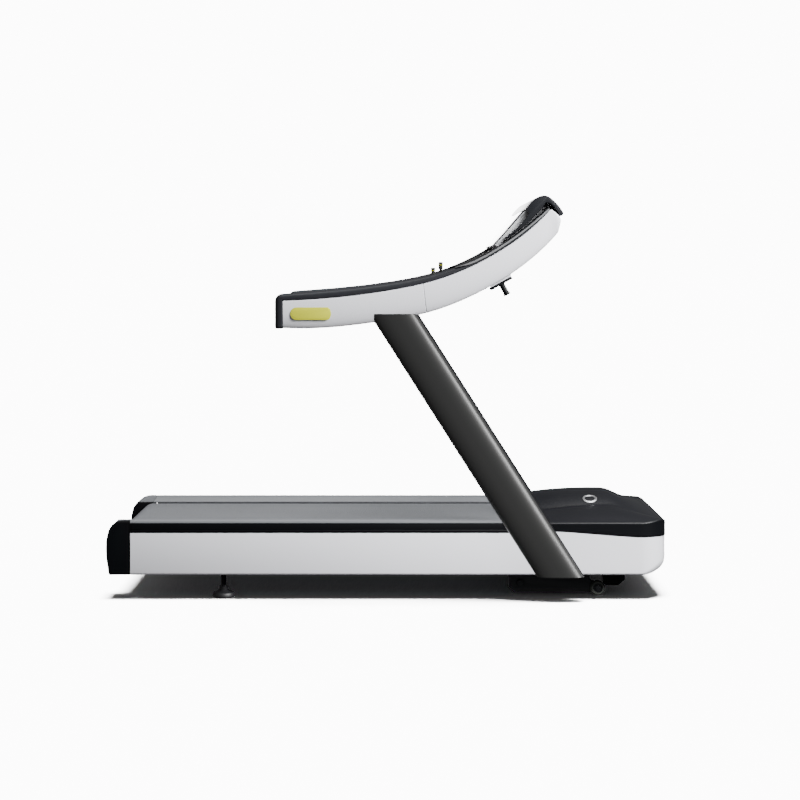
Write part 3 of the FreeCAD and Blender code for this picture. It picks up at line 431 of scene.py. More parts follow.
def face_outline(name):
    """Outline (x, z) of the flat end face that a CAD node shows towards +Y."""
    mesh = CAD[name].data
    points = [v.co for v in mesh.vertices]
    end = max(p.y for p in points)
    faces = [f for f in mesh.polygons if all(abs(points[i].y - end) < 2e-5 for i in f.vertices)]
    key = {i: (round(points[i].x, 5), round(points[i].z, 5)) for f in faces for i in f.vertices}
    used = {}
    for f in faces:
        ring = [key[i] for i in f.vertices]
        for a, b in zip(ring, ring[1:] + ring[:1]):
            if (b, a) in used:
                del used[(b, a)]
            elif a != b:
                used[(a, b)] = True
    after = dict(used.keys())
    loops = []
    while after:
        start, point = after.popitem()
        loop = [start]
        while point != start:
            loop.append(point)
            point = after.pop(point)
        loops.append(loop)
    return max(loops, key=len)


def softened(node, slot, bevel, body="base"):
    """A copy of a CAD part with its hard edges rounded over."""
    mesh = CAD[node].data.copy()
    work = bmesh.new()
    work.from_mesh(mesh)
    bmesh.ops.remove_doubles(work, verts=work.verts, dist=1e-5)
    bmesh.ops.dissolve_limit(work, angle_limit=math.radians(0.6), verts=work.verts, edges=work.edges)
    verts = [v.co.copy() for v in work.verts]
    work.verts.index_update()
    faces = [tuple(v.index for v in f.verts) for f in work.faces]
    work.free()
    return piece(node + "_soft", verts, faces, slot, body, (node,), bevel, segments=2, fold=38)


def side_pair(build):
    for side_name, side in SIDES.items():
        build(side_name, side)


def flipped(verts, side):
    return [Vector((v.x, v.y * side, v.z)) for v in verts]


# ---------------------------------------------------------------- handrails
def section_ring(bottom, top, half_y, shoulder, top_power, low_power, count=64):
    """Ring from bottom to top, widest at the shoulder's share of its height.

    The parts above and below the shoulder have their own roundness.
    """
    waist = bottom.lerp(top, shoulder)
    points = []
    for i in range(count):
        a = 2 * math.pi * (i + 0.5) / count
        c, s = math.cos(a), math.sin(a)
        power, reach = (top_power, top - waist) if s > 0 else (low_power, waist - bottom)
        u = math.copysign(abs(c) ** (2 / power), c)
        v = math.copysign(abs(s) ** (2 / power), s)
        points.append(waist + Vector((0, half_y * u, 0)) + reach * v)
    return points


def arm_ring(probe, x, box_y, shrink=0.0):
    """Section of the white arm at x, leaning a little near the seam between its two shells."""
    low_y, high_y = box_y
    wall_y = high_y - 0.002
    top, bottom = probe.top(x, wall_y) - shrink, probe.bottom(x, wall_y) + shrink
    lean = 0.055 * (top - bottom) * math.exp(-(((x - ARM_SEAM) / 0.12) ** 2))
    mid_y = (low_y + high_y) / 2
    ends = Vector((x + lean, mid_y, bottom)), Vector((x - lean, mid_y, top))
    return section_ring(*ends, (high_y - low_y) / 2 - shrink, 0.86, 9, 2.05)


ARM_SEAM = (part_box("left_arm_rear_shell")[1].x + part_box("left_arm_front_shell")[0].x) / 2
ARM_Y = (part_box("left_arm_front_shell")[0].y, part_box("left_arm_front_shell")[1].y)


def arm_shells(side_name, side):
    probe = Probe("left_arm_rear_shell", "left_arm_front_shell")
    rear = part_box("left_arm_rear_shell")[0].x
    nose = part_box("left_arm_front_shell")[1].x
    lip, gap, nose_round = 0.0016, 0.0004, 0.018
    rear_x = [rear + 0.0005] + spaced(rear + 0.01, ARM_SEAM - lip - gap, 44)
    rings = [arm_ring(probe, x, ARM_Y) for x in rear_x] + [arm_ring(probe, ARM_SEAM - gap, ARM_Y, lip)]
    verts, faces = loft(rings)
    name = f"{side_name}_arm_rear_shell"
    piece(name + "_skin", flipped(verts, side), faces, "arm_white", replaces=(name,))
    front_x = spaced(ARM_SEAM + gap + lip, nose - nose_round, 60)
    rings = [arm_ring(probe, ARM_SEAM + gap, ARM_Y, lip)] + [arm_ring(probe, x, ARM_Y) for x in front_x]
    for k in range(1, 9):
        turn = math.radians(90 * k / 8.4)
        x, inset = nose - nose_round * (1 - math.sin(turn)), nose_round * 0.6 * (1 - math.cos(turn))
        rings.append(arm_ring(probe, x, ARM_Y, inset))
    verts, faces = loft(rings)
    name = f"{side_name}_arm_front_shell"
    piece(name + "_skin", flipped(verts, side), faces, "arm_white", replaces=(name,))
    reach = 0.006
    seam_x = (ARM_SEAM - reach, ARM_SEAM, ARM_SEAM + reach)
    verts, faces = loft([arm_ring(probe, x, ARM_Y, lip * 0.9) for x in seam_x])
    piece(f"{side_name}_arm_seam", flipped(verts, side), faces, "black_plastic")


def edge_depth(x):
    """How far the console's side edge reaches down over the grip at x."""
    start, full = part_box("control_bar")[1].x + 0.012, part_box("console_deck")[1].x - 0.12
    return 0.015 * ease(min(max((x - start) / (full - start), 0), 1))


def grip(side_name, side):
    """Soft rubber along the top of the arm, carried over its rear end in one piece."""
    probe = Probe("left_arm_grip")
    low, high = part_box("left_arm_grip")
    mid_y, half_y = (low.y + high.y) / 2, (high.y - low.y) / 2
    inner_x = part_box("left_arm_rear_shell")[0].x
    spine = []
    for x in spaced(high.x - 0.0045, inner_x + 0.003, 90):
        spine.append(((x, probe.bottom(x, mid_y)), (x, probe.top(x, mid_y) - edge_depth(x))))
    corner_in, radius = (inner_x, spine[-1][0][1]), high.y - low.y
    for k in range(1, 14):
        a = math.radians(90 + 90 * k / 14)
        ray = Vector((math.cos(a), 0, math.sin(a)))
        start = Vector((corner_in[0], mid_y, corner_in[1])) + ray * radius
        out = probe.hit(start, -ray)
        spine.append((corner_in, (out.x, out.z)))
    end_round = 0.008
    for z in spaced(corner_in[1] - 0.003, low.z + end_round, 20):
        spine.append(((inner_x, z), (low.x, z)))
    rings = []
    for inner, outer in spine:
        a, b = Vector((inner[0], mid_y, inner[1])), Vector((outer[0], mid_y, outer[1]))
        rings.append(section_ring(a, b, half_y, 0.35, 2.9, 8))
    for k in range(1, 7):
        turn = math.radians(90 * k / 6.3)
        last = shrunk(rings[len(spine) - 1], end_round * (1 - math.cos(turn)))
        rings.append([Vector((p.x, p.y, low.z + end_round * (1 - math.sin(turn)))) for p in last])
    verts, faces = loft(rings)
    name = f"{side_name}_arm_grip"
    piece(name + "_rubber", flipped(verts, side), faces, "grip_black", replaces=(name,))
    console_edge(side_name, side, probe, mid_y, half_y)


def console_edge(side_name, side, probe, mid_y, half_y):
    """Satin edge of the console that runs along the top of the arm, under a thin black cap. Its grey body is
    painted shade on the console's side.
    """
    start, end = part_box("control_bar")[1].x + 0.03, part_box("left_arm_grip")[1].x - 0.006
    body, cap = [], []
    for x in spaced(start, end, 60):
        top, depth = probe.top(x, mid_y), edge_depth(x)
        seam = top - 0.3 * depth
        foot, split, crest = (Vector((x, mid_y, z)) for z in (top - depth * 1.12, seam, top))
        lifted = Vector((x, mid_y, seam + 0.0002))
        body.append(section_ring(foot, split, half_y * 0.99, 0.5, 6, 6, 40))
        cap.append(section_ring(lifted, crest, half_y, 0.3, 3, 6, 40))
    # The edge's grey body is painted shade; its black cap is plain cowl plastic
    for rings, label, slot in ((body, "console_edge", "beam_grey"), (cap, "console_edge_cap", "cowl_black")):
        verts, faces = loft(rings)
        piece(f"{side_name}_{label}", flipped(verts, side), faces, slot)


def shrunk(ring, amount):
    """Ring drawn in towards its middle by about the given distance."""
    middle = sum(ring, Vector()) / len(ring)
    out = []
    for p in ring:
        away = p - middle
        out.append(middle + away * max(0.02, 1 - amount / max(away.length, 1e-6)))
    return out


def arm_badges():
    low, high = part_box("arm_badges")
    radius = (high.z - low.z) / 2
    middle_z = (low.z + high.z) / 2
    left, right = low.x + radius, high.x - radius * 0.55

    def plate(inset, depth_low, depth_high):
        r = radius - inset
        outline = []
        for x, flat, start in ((left, 1, 90), (right, 0.55, -90)):
            for a in spread_angles(start, start + 180, 20):
                outline.append((x + r * flat * math.cos(a), middle_z + r * math.sin(a)))
        return slab(outline, depth_low, depth_high)

    for label, side in SIDES.items():
        verts, faces = plate(0, high.y - 0.004, high.y)
        name = f"{label}_arm_badge_rim"
        piece(name, flipped(verts, side), faces, "badge_green", replaces=("arm_badges",), bevel=0.0012)
        verts, faces = plate(0.006, high.y - 0.003, high.y + 0.0006)
        piece(f"{label}_arm_badge_face", flipped(verts, side), faces, "badge_green", bevel=0.0005)


def spread_angles(start, end, count):
    return [math.radians(a) for a in spaced(start, end, count)]


# ---------------------------------------------------------------- uprights
def upright(side_name, side):
    """Oval extruded column that leans back, with a dark insert down its front edge."""
    node = f"{side_name}_upright"
    low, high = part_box("left_upright")
    probe = Probe("left_upright")
    mid_y, half_y = (low.y + high.y) / 2, (high.y - low.y) / 2
    near, far = low.z + 0.2, low.z + 0.8
    fronts = [probe.hit((3, mid_y, z), (-1, 0, 0)).x for z in (near, far)]
    backs = [probe.hit((-3, mid_y, z), (1, 0, 0)).x for z in (near, far)]
    slope = (fronts[1] - fronts[0]) / (far - near)
    half_x = (fronts[0] - backs[0]) / 2
    foot = (fronts[0] + backs[0]) / 2 - slope * (near - low.z)
    rings = []
    for z in spaced(low.z + 0.001, high.z + 0.004, 12):
        centre = Vector((foot + slope * (z - low.z), mid_y, z))
        rings.append(oval(centre, Vector((1, 0, 0)), Vector((0, 1, 0)), half_x, half_y, 2.6, 96))
    verts, faces = loft(rings)
    piece(node + "_column", flipped(verts, side), faces, "upright_metal", replaces=(node,), sharp=50)
    rings = []
    for z in spaced(low.z + 0.004, high.z - 0.002, 12):
        centre = Vector((foot + slope * (z - low.z) + half_x - 0.0075, mid_y, z))
        rings.append(oval(centre, Vector((1, 0, 0)), Vector((0, 1, 0)), 0.009, 0.0135, 3.4, 40))
    verts, faces = loft(rings)
    piece(node + "_front_insert", flipped(verts, side), faces, "black_plastic")


# ---------------------------------------------------------------- deck covers
def along_x(section, start, end):
    """A closed YZ section drawn out along X."""
    return loft([[(x, y, z) for y, z in section] for x in (start, end)])


def cap_ring(probe, y, angles, lift=0.0, squeeze=1.0):
    """Outer surface of the rear cap at y, swept by rays about a point on its front plane."""
    low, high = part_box("left_rear_cap")
    hub = Vector((high.x - 0.0006, y, (low.z + high.z) / 2))
    inside = min(max(y, low.y + 0.0005), high.y - 0.0005)
    ring = []
    for a in angles:
        ray = Vector((math.cos(a), 0, math.sin(a)))
        far = Vector((hub.x, inside, hub.z)) + ray * 0.4
        reach = 0.4 - (probe.hit(far, -ray) - far).length
        ring.append(hub + ray * (reach * squeeze + lift))
    return ring


def rear_cap(side_name, side):
    """Moulded end cap, with a grey layer in the foot rail's material over its top."""
    low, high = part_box("left_rear_cap")
    probe = Probe("left_rear_cap")
    radius, tall = 0.006, (high.z - low.z) / 2
    rounding = [radius * (1 - math.cos(a)) for a in spread_angles(0, 90, 6)]
    sink = [radius * (1 - math.sin(a)) for a in spread_angles(0, 90, 6)]
    angles = spread_angles(90.5, 269.5, 90)
    rows = [(low.y + r, d) for r, d in zip(rounding, sink)]
    rows += [(y, 0.0) for y in spaced(low.y + radius, high.y - radius, 26)[1:-1]]
    rows += [(high.y - r, d) for r, d in zip(reversed(rounding), reversed(sink))]
    rings = [cap_ring(probe, y, angles, squeeze=1 - d / tall) for y, d in rows]
    verts, faces = loft(rings)
    name = f"{side_name}_rear_cap"
    piece(name + "_moulding", flipped(verts, side), faces, "black_plastic", replaces=(name,))
    # Grey layer over the cap's top, in the foot rail's material
    grey_top_y = spaced(low.y + 0.005, high.y - 0.008, 24)
    over = spread_angles(90.5, 147, 40)
    top = [cap_ring(probe, y, over, 0.0005) for y in grey_top_y]
    under = [cap_ring(probe, y, over, -0.001) for y in grey_top_y]
    rings = [a + list(reversed(b)) for a, b in zip(top, under)]
    verts, faces = loft(rings)
    piece(name + "_tread", flipped(verts, side), faces, "foot_rail_grey")


def side_panel(side_name, side):
    low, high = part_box("left_side_panel")
    bend, wall, gap = 0.010, 0.004, 0.0008
    centre_y, centre_z = high.y - bend, low.z + bend
    outer = [(centre_y + bend * math.sin(a), centre_z - bend * math.cos(a)) for a in spread_angles(0, 90, 8)]
    section = [(low.y, low.z + wall), (low.y, low.z)] + outer
    section += [(high.y, high.z), (high.y - wall, high.z)]
    section += [(high.y - wall, centre_z), (centre_y, low.z + wall)]
    verts, faces = along_x(section, low.x + gap, high.x - gap)
    name = f"{side_name}_side_panel"
    skin = flipped(verts, side)
    piece(name + "_skin", skin, faces, "white_panel", replaces=(name,), bevel=0.0009, segments=2, fold=50)


def trim_strip(side_name, side):
    """Black strip over the panel: slightly crowned, with a fine groove near its foot."""
    low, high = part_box("left_trim_strip")
    depth, groove, groove_z = high.y - low.y, 0.0012, low.z + (high.z - low.z) * 0.3
    face = []
    for t in spaced(0, 1, 17):
        z = blend(low.z + 0.0006, high.z, t)
        cut = groove if abs(z - groove_z) < 0.0013 else 0.0
        face.append((high.y - 0.0012 * (2 * t - 1) ** 2 - cut, z))
    section = face + [(high.y - depth, high.z), (high.y - depth, low.z + 0.0006)]
    verts, faces = along_x(section, low.x + 0.0006, high.x)
    name = f"{side_name}_trim_strip"
    moulding = flipped(verts, side)
    rounding = {"bevel": 0.0008, "segments": 2, "fold": 55}
    piece(name + "_moulding", moulding, faces, "black_plastic", replaces=(name,), **rounding)


def foot_rail(side_name, side):
    """Foot rail: ribbed tread in a shallow dish between two smooth lips."""
    low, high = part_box("left_foot_rail")
    probe = Probe("left_foot_rail")
    x = (low.x + high.x) / 2
    rib_low, rib_high, pitch, rib = low.y + 0.022, high.y - 0.03, 0.0045, 0.0012
    top, y = [], low.y + 0.0002
    while y < high.y:
        ribbed = rib_low < y < rib_high
        raised = ribbed and int((y - rib_low) / (pitch / 4)) % 4 in (1, 2)
        top.append((y, probe.top(x, y) + (rib if raised else 0.0)))
        y += pitch / 4 if ribbed else 0.002
    top.append((high.y - 0.0002, probe.top(x, high.y - 0.0004)))
    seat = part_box("left_trim_strip")[1].z
    section = top + [(high.y - 0.0002, seat), (high.y - 0.004, seat), (high.y - 0.012, low.z)]
    section += [(low.y + 0.003, low.z), (low.y, top[0][1] - 0.002)]
    verts, faces = along_x(section, low.x + 0.0005, high.x)
    name = f"{side_name}_foot_rail"
    piece(name + "_tread", flipped(verts, side), faces, "foot_rail_grey", replaces=(name,), sharp=25)


# ---------------------------------------------------------------- hood and front shell
HOOD_LOW, HOOD_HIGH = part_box("motor_hood")
HOOD_PROBE = Probe("motor_hood")
PLAN_CORNER = 0.110
NOSE_BEND = 0.060
KNEE_X = HOOD_HIGH.x - 0.195


def plan_half_width(x):
    """Half width of the deck's front in plan: straight sides, rounded corners."""
    into = x - (HOOD_HIGH.x - PLAN_CORNER)
    if into <= 0:
        return HOOD_HIGH.y
    return HOOD_HIGH.y - PLAN_CORNER + math.sqrt(max(PLAN_CORNER ** 2 - into ** 2, 0.0))


def crease_share(x):
    """Share of the half width at which the hood's crown folds into its flank."""
    return blend(0.481, 0.785, min(max((x - KNEE_X) / (HOOD_HIGH.x - KNEE_X), 0), 1))


def hood_height(x, y):
    """Height of the hood's skin, averaged over a short length."""
    step, edge = 0.007, 0.001
    reach = [min(max(x + k * step, HOOD_LOW.x + edge), HOOD_HIGH.x - edge) for k in range(-2, 3)]
    heights = [HOOD_PROBE.top(at, math.copysign(min(abs(y), plan_half_width(at) - 0.001), y)) for at in reach]
    return sum(heights) / len(heights)


HOOD_LIP = 0.006
SKIN_WALL = 0.0035


def hood_skin():
    """Open surface over the hood: a crown, a crease and falling flanks; also the indices of its border."""
    stations = spaced(HOOD_LOW.x + 0.0005, HOOD_HIGH.x - PLAN_CORNER, 52)
    stations += [HOOD_HIGH.x - PLAN_CORNER * (1 - math.sin(a)) for a in spread_angles(7, 88, 14)]
    rings = []
    for x in stations:
        half, fold = plan_half_width(x) - HOOD_LIP, crease_share(x)
        shares = spaced(0, fold - 0.012, 26) + [fold, fold + 0.012] + spaced(fold + 0.02, 1, 12)
        shares = [-t for t in reversed(shares[1:])] + shares
        ring_x = min(x, HOOD_HIGH.x - HOOD_LIP)
        rings.append([Vector((ring_x, half * t, hood_height(x, half * t))) for t in shares])
    verts, faces = loft(rings, closed=False, caps=False)
    count, last = len(rings[0]), (len(rings) - 1) * len(rings[0])
    border = [r * count for r in range(len(rings))] + [last + i for i in range(1, count)]
    border += [r * count + count - 1 for r in reversed(range(len(rings) - 1))]
    return verts, faces, border


def hood():
    """Cover in one skin with a rolled edge, and below it a skirt in a darker black, which is painted shade on
    the hood's lower faces.
    """
    verts, faces, border = hood_skin()
    edge = border
    for k in range(1, 6):
        turn = math.radians(90 * k / 5)
        out, down = HOOD_LIP * math.sin(turn), -HOOD_LIP * (1 - math.cos(turn))
        edge = skirt_row(verts, faces, border, edge, out, down)
    shell = piece("motor_hood_cover", verts, faces, "hood_plastic", replaces=("motor_hood",), sharp=24)
    rim = [verts[i] for i in edge]
    rows = []
    for share in (0.0, 0.05, 1.0):
        rows.append([Vector((p.x, p.y, blend(p.z - 0.0006, hood_foot(p.x), share))) for p in rim])
    verts, faces = loft([list(row) for row in zip(*rows)], closed=False, caps=False)
    # The skirt's darker black is painted shade: hood and skirt are one plastic
    skirt = piece("motor_hood_skirt", verts, faces, "black_plastic", sharp=24)
    thicken(shell, SKIN_WALL)
    thicken(skirt, SKIN_WALL)


def outward(p):
    """Plan direction in which the deck's border faces at p."""
    centre_x = HOOD_HIGH.x - PLAN_CORNER
    if p.x <= centre_x:
        return Vector((0, math.copysign(1, p.y), 0))
    inner = HOOD_HIGH.y - PLAN_CORNER
    if abs(p.y) <= inner:
        return Vector((1, 0, 0))
    return Vector((p.x - centre_x, p.y - math.copysign(inner, p.y), 0)).normalized()


def skirt_row(verts, faces, border, previous, out, down):
    """Adds one row of the rolled edge, out and down from the border, and returns its indices."""
    row = []
    for i in border:
        row.append(len(verts))
        verts.append(verts[i] + outward(verts[i]) * out + Vector((0, 0, down)))
    faces.extend((previous[k], previous[k + 1], row[k + 1], row[k]) for k in range(len(border) - 1))
    return row


def hood_foot(x):
    """Lower edge of the hood, which dips towards the nose."""
    straight = HOOD_HIGH.x - PLAN_CORNER - 0.002
    return HOOD_PROBE.bottom(min(max(x, HOOD_LOW.x + 0.001), straight), HOOD_HIGH.y - 0.002)


def thicken(obj, amount):
    made = obj.modifiers.new("wall", "SOLIDIFY")
    made.thickness, made.offset = amount, -1
    settle(obj)
    shaded(obj, 28)


def front_shell():
    """White shell under the hood: rounded nose and a small bend along its sides."""
    low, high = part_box("front_shell")
    centre_x, inner = high.x - PLAN_CORNER, high.y - PLAN_CORNER
    path = [(x, high.y) for x in spaced(low.x + 0.0008, centre_x, 14)]
    for a in spread_angles(5, 90, 18):
        path.append((centre_x + PLAN_CORNER * math.sin(a), inner + PLAN_CORNER * math.cos(a)))
    path += [(high.x, y) for y in spaced(inner, 0, 12)[1:]]
    path += [(x, -y) for x, y in reversed(path[:-1])]
    flange, gap, side_bend = 0.034, 0.0008, 0.010
    rings = []
    for x, y in path:
        out = outward(Vector((x, y, 0)))
        bend = blend(side_bend, NOSE_BEND, ease(out.x))
        foot = max(flange, bend + 0.006)
        profile = [(foot, low.z)]
        for a in spread_angles(0, 90, 14):
            profile.append((bend - bend * math.sin(a), low.z + bend - bend * math.cos(a)))
        top = hood_foot(x) - gap
        profile += [(0.0, z) for z in spaced(low.z + bend, top, 6)[1:]]
        rings.append([Vector((x - out.x * d, y - out.y * d, z)) for d, z in profile])
    verts, faces = loft(rings, closed=False, caps=False)
    skin = piece("front_shell_skin", verts, faces, "white_panel", replaces=("front_shell",))
    thicken(skin, SKIN_WALL)
    inlet_low, inlet_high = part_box("power_inlet")
    edge = Vector((0.02, 0.0008, 0.0008))
    opened(skin, inlet_low - edge, inlet_high + edge)
    softened("power_inlet", "black_plastic", 0.0008)


def opened(obj, low, high):
    """Rectangular opening cut through a thin skin."""
    verts, faces = block(low, high)
    cutter = flat_mesh("cutter", verts, faces, MATERIALS["white_panel"])
    made = obj.modifiers.new("opening", "BOOLEAN")
    made.operation, made.solver, made.object = "DIFFERENCE", "EXACT", cutter
    settle(obj)
    bpy.data.objects.remove(cutter)
    shaded(obj, 28)


def hood_badges():
    """Plain round plates on the hood's crown: a satin ring round a dark dish."""
    low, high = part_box("hood_badges")
    centre_x, radius = (low.x + high.x) / 2, (high.x - low.x) / 2
    centre_y = high.y - radius
    ring_steps = ((1.0, -0.002), (1.0, 0.0008), (0.96, 0.0016))
    ring_steps += ((0.72, 0.0016), (0.68, 0.0008), (0.68, -0.002))
    dish_steps = ((0.675, -0.002), (0.675, 0.0004), (0.5, 0.0012), (0.25, 0.0015), (0.02, 0.0016))
    parts = (("ring", ring_steps, "silver_badge", ("hood_badges",)), ("dish", dish_steps, "hood_plastic", ()))
    for side_name, side in SIDES.items():
        for label, steps, slot, nodes in parts:
            rings = []
            for scale, lift in steps:
                ring = []
                for a in spread_angles(0, 360, 49)[:-1]:
                    x = centre_x + radius * scale * math.cos(a)
                    y = centre_y + radius * scale * math.sin(a)
                    ring.append(Vector((x, y * side, hood_height(x, y) + lift)))
                rings.append(ring)
            verts, faces = loft(rings)
            piece(f"{side_name}_hood_badge_{label}", verts, faces, slot, replaces=nodes)


# ---------------------------------------------------------------- console
def extruded_like(node, slot, bevel, name, segments=3, fold=30):
    """A CAD part that is one outline drawn across the machine, with its edges rounded."""
    low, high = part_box(node)
    verts, faces = slab(face_outline(node), low.y, high.y)
    return piece(name, verts, faces, slot, replaces=(node,), bevel=bevel, segments=segments, fold=fold)


def console():
    extruded_like("display_housing", "housing_grey", 0.002, "display_housing_wedge")
    # The display beam's grey tone is a painted highlight band between the cowl and the grips
    extruded_like("display_beam", "beam_grey", 0.002, "display_beam_bar")
    extruded_like("console_back_shell", "cowl_black", 0.0015, "console_back_panel")
    extruded_like("console_cowl", "cowl_black", 0.003, "console_cowl_hook", 4)
    extruded_like("display_glass", "display_dark", 0.0012, "display_screen")
    for side in SIDES:
        cup_rim(side)
    hook_pad()
    for node in ("stop_knob", "left_joystick", "right_joystick"):
        stick_collar(node, node)


def hook_pad():
    """Pale boss between the back shell and the accessory hook's plate."""
    low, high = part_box("accessory_hook")
    plate, shell = Probe("accessory_hook"), Probe("console_back_shell")
    xs = spaced(low.x + 0.004, high.x - 0.006, 12)
    outline = [(x, plate.top(x, low.y + 0.006) + 0.0002) for x in xs]
    outline += [(x, shell.bottom(x, high.y) - 0.0002) for x in reversed(xs)]
    verts, faces = slab(outline, low.y + 0.004, high.y - 0.004)
    piece("accessory_hook_pad", verts, faces, "arm_white", bevel=0.001)


def stick_collar(node, body):
    """Coloured ring let into a control stick just under its cap."""
    low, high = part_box(node)
    probe, top = Probe(node), high.z - 0.012
    centre = Vector(((low.x + high.x) / 2, (low.y + high.y) / 2, top))
    radius = centre.x - probe.hit((centre.x - 0.1, centre.y, top), (1, 0, 0)).x + 0.0005
    profile = [(radius - 0.001, -0.002), (radius, -0.0016), (radius, 0.0016), (radius - 0.001, 0.002)]
    profile += [(0.001, 0.002), (0.001, -0.002)]
    verts, faces = lathe(profile, centre, (0, 0, 1), 36)
    piece(f"{node}_collar", verts, faces, "badge_green", body)


def cup_rim(side_name):
    low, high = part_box(f"{side_name}_bottle_holder")
    centre = Vector(((low.x + high.x) / 2, (low.y + high.y) / 2, low.z))
    radius, wall, deep = (high.x - low.x) / 2, 0.003, 0.004
    inner, rim = radius - wall, high.z - low.z - 0.05
    profile = [(0.001, 0), (radius - 0.006, 0), (radius - 0.001, 0.003), (radius, 0.008)]
    profile += [(radius, rim), (inner, rim), (inner, 0.012), (inner - 0.004, deep), (0.001, deep)]
    verts, faces = lathe(profile, centre, (0, 0, 1), 64)
    piece(f"{side_name}_cup_liner", verts, faces, "cup_plastic")


# ---------------------------------------------------------------- feet, wheels and lift
def leveller(side_name):
    node = f"{side_name}_leveller"
    low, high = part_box(node)
    centre = Vector(((low.x + high.x) / 2, (low.y + high.y) / 2, low.z))
    pad, stem, top = (high.x - low.x) / 2, 0.0105, high.z - low.z
    profile = [(0.001, 0), (pad - 0.003, 0), (pad, 0.003), (pad, 0.012), (pad - 0.004, 0.018)]
    profile += [(0.024, 0.024), (0.018, 0.03), (0.018, 0.042), (stem + 0.001, 0.044)]
    z = 0.046
    while z < top - 0.006:
        profile += [(stem, z), (stem - 0.0012, z + 0.001)]
        z += 0.002
    profile += [(stem, top - 0.003), (stem - 0.002, top), (0.001, top)]
    verts, faces = lathe(profile, centre, (0, 0, 1), 48)
    piece(f"{node}_foot", verts, faces, "leveller_black", node, (node,))


def turned(profile, centre, steps=56):
    """Ring-shaped solid about the Y axis from a closed (radius, along) profile."""
    rings = []
    for radius, along in profile:
        ring = []
        for a in spread_angles(0, 360, steps + 1)[:-1]:
            ring.append(centre + Vector((radius * math.cos(a), along, radius * math.sin(a))))
        rings.append(ring)
    return loft(rings, caps=False)


def lift_wheel(side_name):
    node = f"{side_name}_lift_wheel"
    low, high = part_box(node)
    centre = (low + high) / 2
    radius, half = (high.x - low.x) / 2, (high.y - low.y) / 2
    bore, hub, web_edge = 0.0075, 0.011, radius - 0.0105
    tyre = [(radius - 0.011, -half), (radius - 0.005, -half)]
    tyre += [(radius - 0.001, -half + 0.004), (radius, -half + 0.009)]
    tyre += [(r, -a) for r, a in reversed(tyre)] + [(radius - 0.011, -half)]
    verts, faces = turned(tyre, centre)
    piece(f"{node}_tyre", verts, faces, "wheel_rubber", node, (node,))
    web = [(bore, -half + 0.001), (hub, -half + 0.001)]
    web += [(hub + 0.001, -half + 0.004), (radius - 0.014, -half + 0.005)]
    web += [(web_edge - 0.001, -half + 0.002), (web_edge, -half + 0.002)]
    web += [(r, -a) for r, a in reversed(web)] + [web[0]]
    verts, faces = turned(web, centre)
    piece(f"{node}_hub", verts, faces, "lift_paint", node)


# ---------------------------------------------------------------- stage, lights, camera
def flat_mesh(name, verts, faces, material):
    mesh = bpy.data.meshes.new(name)
    mesh.from_pydata([tuple(v) for v in verts], [], faces)
    mesh.materials.append(material)
    obj = linked(name, mesh)
    return obj


def floor():
    """Wide white floor. It isn't mirrored in the dark parts."""
    g = Graph("studio_floor")
    g.colour(g.noise(2, 2), (0.89, 0.89, 0.89), (0.91, 0.91, 0.91))
    g.set(Roughness=1.0, Specular_IOR_Level=0.0)
    reach, rings, steps = 220.0, 14, 64
    verts = [Vector()]
    faces = []
    for r in range(1, rings + 1):
        radius = reach * (r / rings) ** 3
        for a in spread_angles(0, 360, steps + 1)[:-1]:
            verts.append(Vector((radius * math.cos(a), radius * math.sin(a), 0)))
    for i in range(steps):
        j = (i + 1) % steps
        faces.append((0, 1 + i, 1 + j))
        for r in range(rings - 1):
            a, b = 1 + r * steps, 1 + (r + 1) * steps
            faces.append((a + i, b + i, b + j, a + j))
    obj = flat_mesh("studio_floor", verts, faces, g.material)
    obj.visible_glossy = obj.visible_diffuse = False
    return obj


def backdrop():
    """White surround, seen behind the object but lighting nothing."""
    g = Graph("studio_white")
    glow = g.add("ShaderNodeEmission")
    glow.inputs["Strength"].default_value = WHITE
    output = g.tree.nodes["Material Output"]
    g.link(glow.outputs[0], output.inputs["Surface"])
    radius, steps, levels = 215.0, 48, 12
    rings = []
    for level in range(levels + 1):
        up = math.radians(blend(-8, 89, level / levels))
        flat, height = radius * math.cos(up), radius * math.sin(up)
        turns = spread_angles(0, 360, steps + 1)[:-1]
        rings.append([Vector((flat * math.cos(a), flat * math.sin(a), height)) for a in turns])
    verts, faces = loft(rings, caps=False)
    obj = flat_mesh("studio_white", verts, faces, g.material)
    obj.visible_diffuse = obj.visible_glossy = obj.visible_transmission = obj.visible_shadow = False


def lit_only(light, group, receive="INCLUDE"):
    """Limits a light to the objects of a group, or keeps it off them."""
    light.light_linking.receiver_collection = group
    for entry in group.collection_objects:
        entry.light_linking.link_state = receive


def group_of(name, objects):
    group = bpy.data.collections.new(name)
    for obj in objects:
        group.objects.link(obj)
    return group


def area_light(name, place, target, size, glow):
    """Softbox of the given size whose face has the given brightness."""
    data = bpy.data.lights.new(name, "AREA")
    data.shape = "RECTANGLE"
    data.size, data.size_y = size
    data.energy = glow * math.pi * size[0] * size[1]
    obj = linked(name, data)
    obj.location = place
    obj.rotation_euler = (Vector(target) - Vector(place)).to_track_quat("-Z", "Y").to_euler()
    return obj


def sun(name, towards, strength, spread):
    data = bpy.data.lights.new(name, "SUN")
    data.energy, data.angle = strength, math.radians(spread)
    obj = linked(name, data)
    obj.rotation_euler = (-Vector(towards)).to_track_quat("-Z", "Y").to_euler()
    return obj


WHITE = 12.0


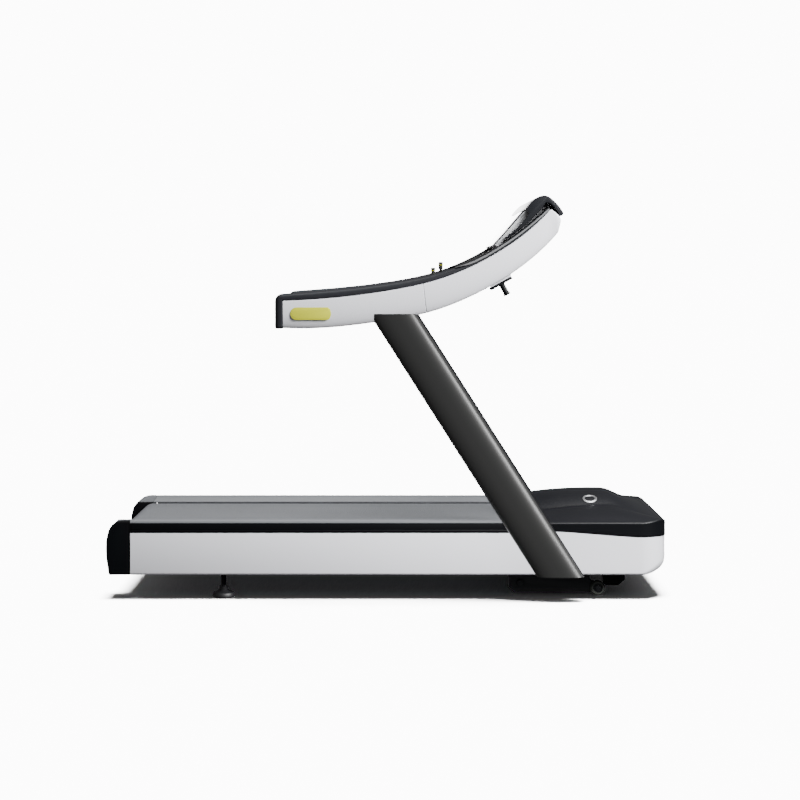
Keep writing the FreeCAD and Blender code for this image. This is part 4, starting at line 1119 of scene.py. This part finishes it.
def studio(ground):
    """White ground lit from above; the object lit softly from above and from its front right."""
    world = bpy.data.worlds.new("studio")
    bpy.context.scene.world = world
    world.use_nodes = True
    world.node_tree.nodes["Background"].inputs["Color"].default_value = (1, 1, 1, 1)
    world.node_tree.nodes["Background"].inputs["Strength"].default_value = 0.16
    lit_only(sun("ground_light", (0.03, -0.07, 1), WHITE * math.pi / 0.9, 18), group_of("ground", [ground]))
    lit_only(sun("overhead", (0.12, -0.1, 1), 5.0, 50), group_of("off_ground_a", [ground]), "EXCLUDE")
    columns = [o for o in bpy.data.objects if "upright_column" in o.name]
    key = area_light("key", (2.3, -2.3, 2.4), (0.4, -0.4, 0.6), (1.6, 1.4), 60.0)
    lit_only(key, group_of("off_ground_b", [ground] + columns), "EXCLUDE")
    shadowless = group_of("unshadowed", columns)
    key.light_linking.blocker_collection = shadowless
    for entry in shadowless.collection_objects:
        entry.light_linking.link_state = "EXCLUDE"
    strip = area_light("column_strip", (3.74, -3.09, 2.2), (0.45, -0.43, 0.7), (1.0, 3.0), 48.0)
    lit_only(strip, group_of("columns", columns))
    screen = [o for o in bpy.data.objects if o.name.split("_")[0] in ("display", "console")]
    far = area_light("far_softbox", (0.7, 10, 2.1), (0.55, 0, 1.5), (4, 3), WHITE)
    lit_only(far, group_of("screen", screen))
    far.visible_camera = False


def camera():
    data = bpy.data.cameras.new("camera")
    data.lens, data.sensor_width, data.shift_y = 79.3, 36, -0.166
    obj = linked("camera", data)
    obj.location = (0.052, -7.41, 1.324)
    obj.rotation_euler = (math.radians(90), 0, 0)
    bpy.context.scene.camera = obj


side_pair(arm_shells)
side_pair(grip)
arm_badges()
side_pair(upright)
side_pair(rear_cap)
side_pair(side_panel)
side_pair(trim_strip)
side_pair(foot_rail)
hood()
front_shell()
hood_badges()
console()
for side_name in SIDES:
    leveller(side_name)
    lift_wheel(side_name)
softened("lift_arm", "lift_paint", 0.0015, "lift_arm")
softened("front_stops", "black_plastic", 0.0015)
softened("accessory_hook", "black_plastic", 0.0012)
softened("control_bar", "cowl_black", 0.0015)
softened("stop_knob", "knob_black", 0.0008, "stop_knob")
ground = floor()
backdrop()
studio(ground)
camera()
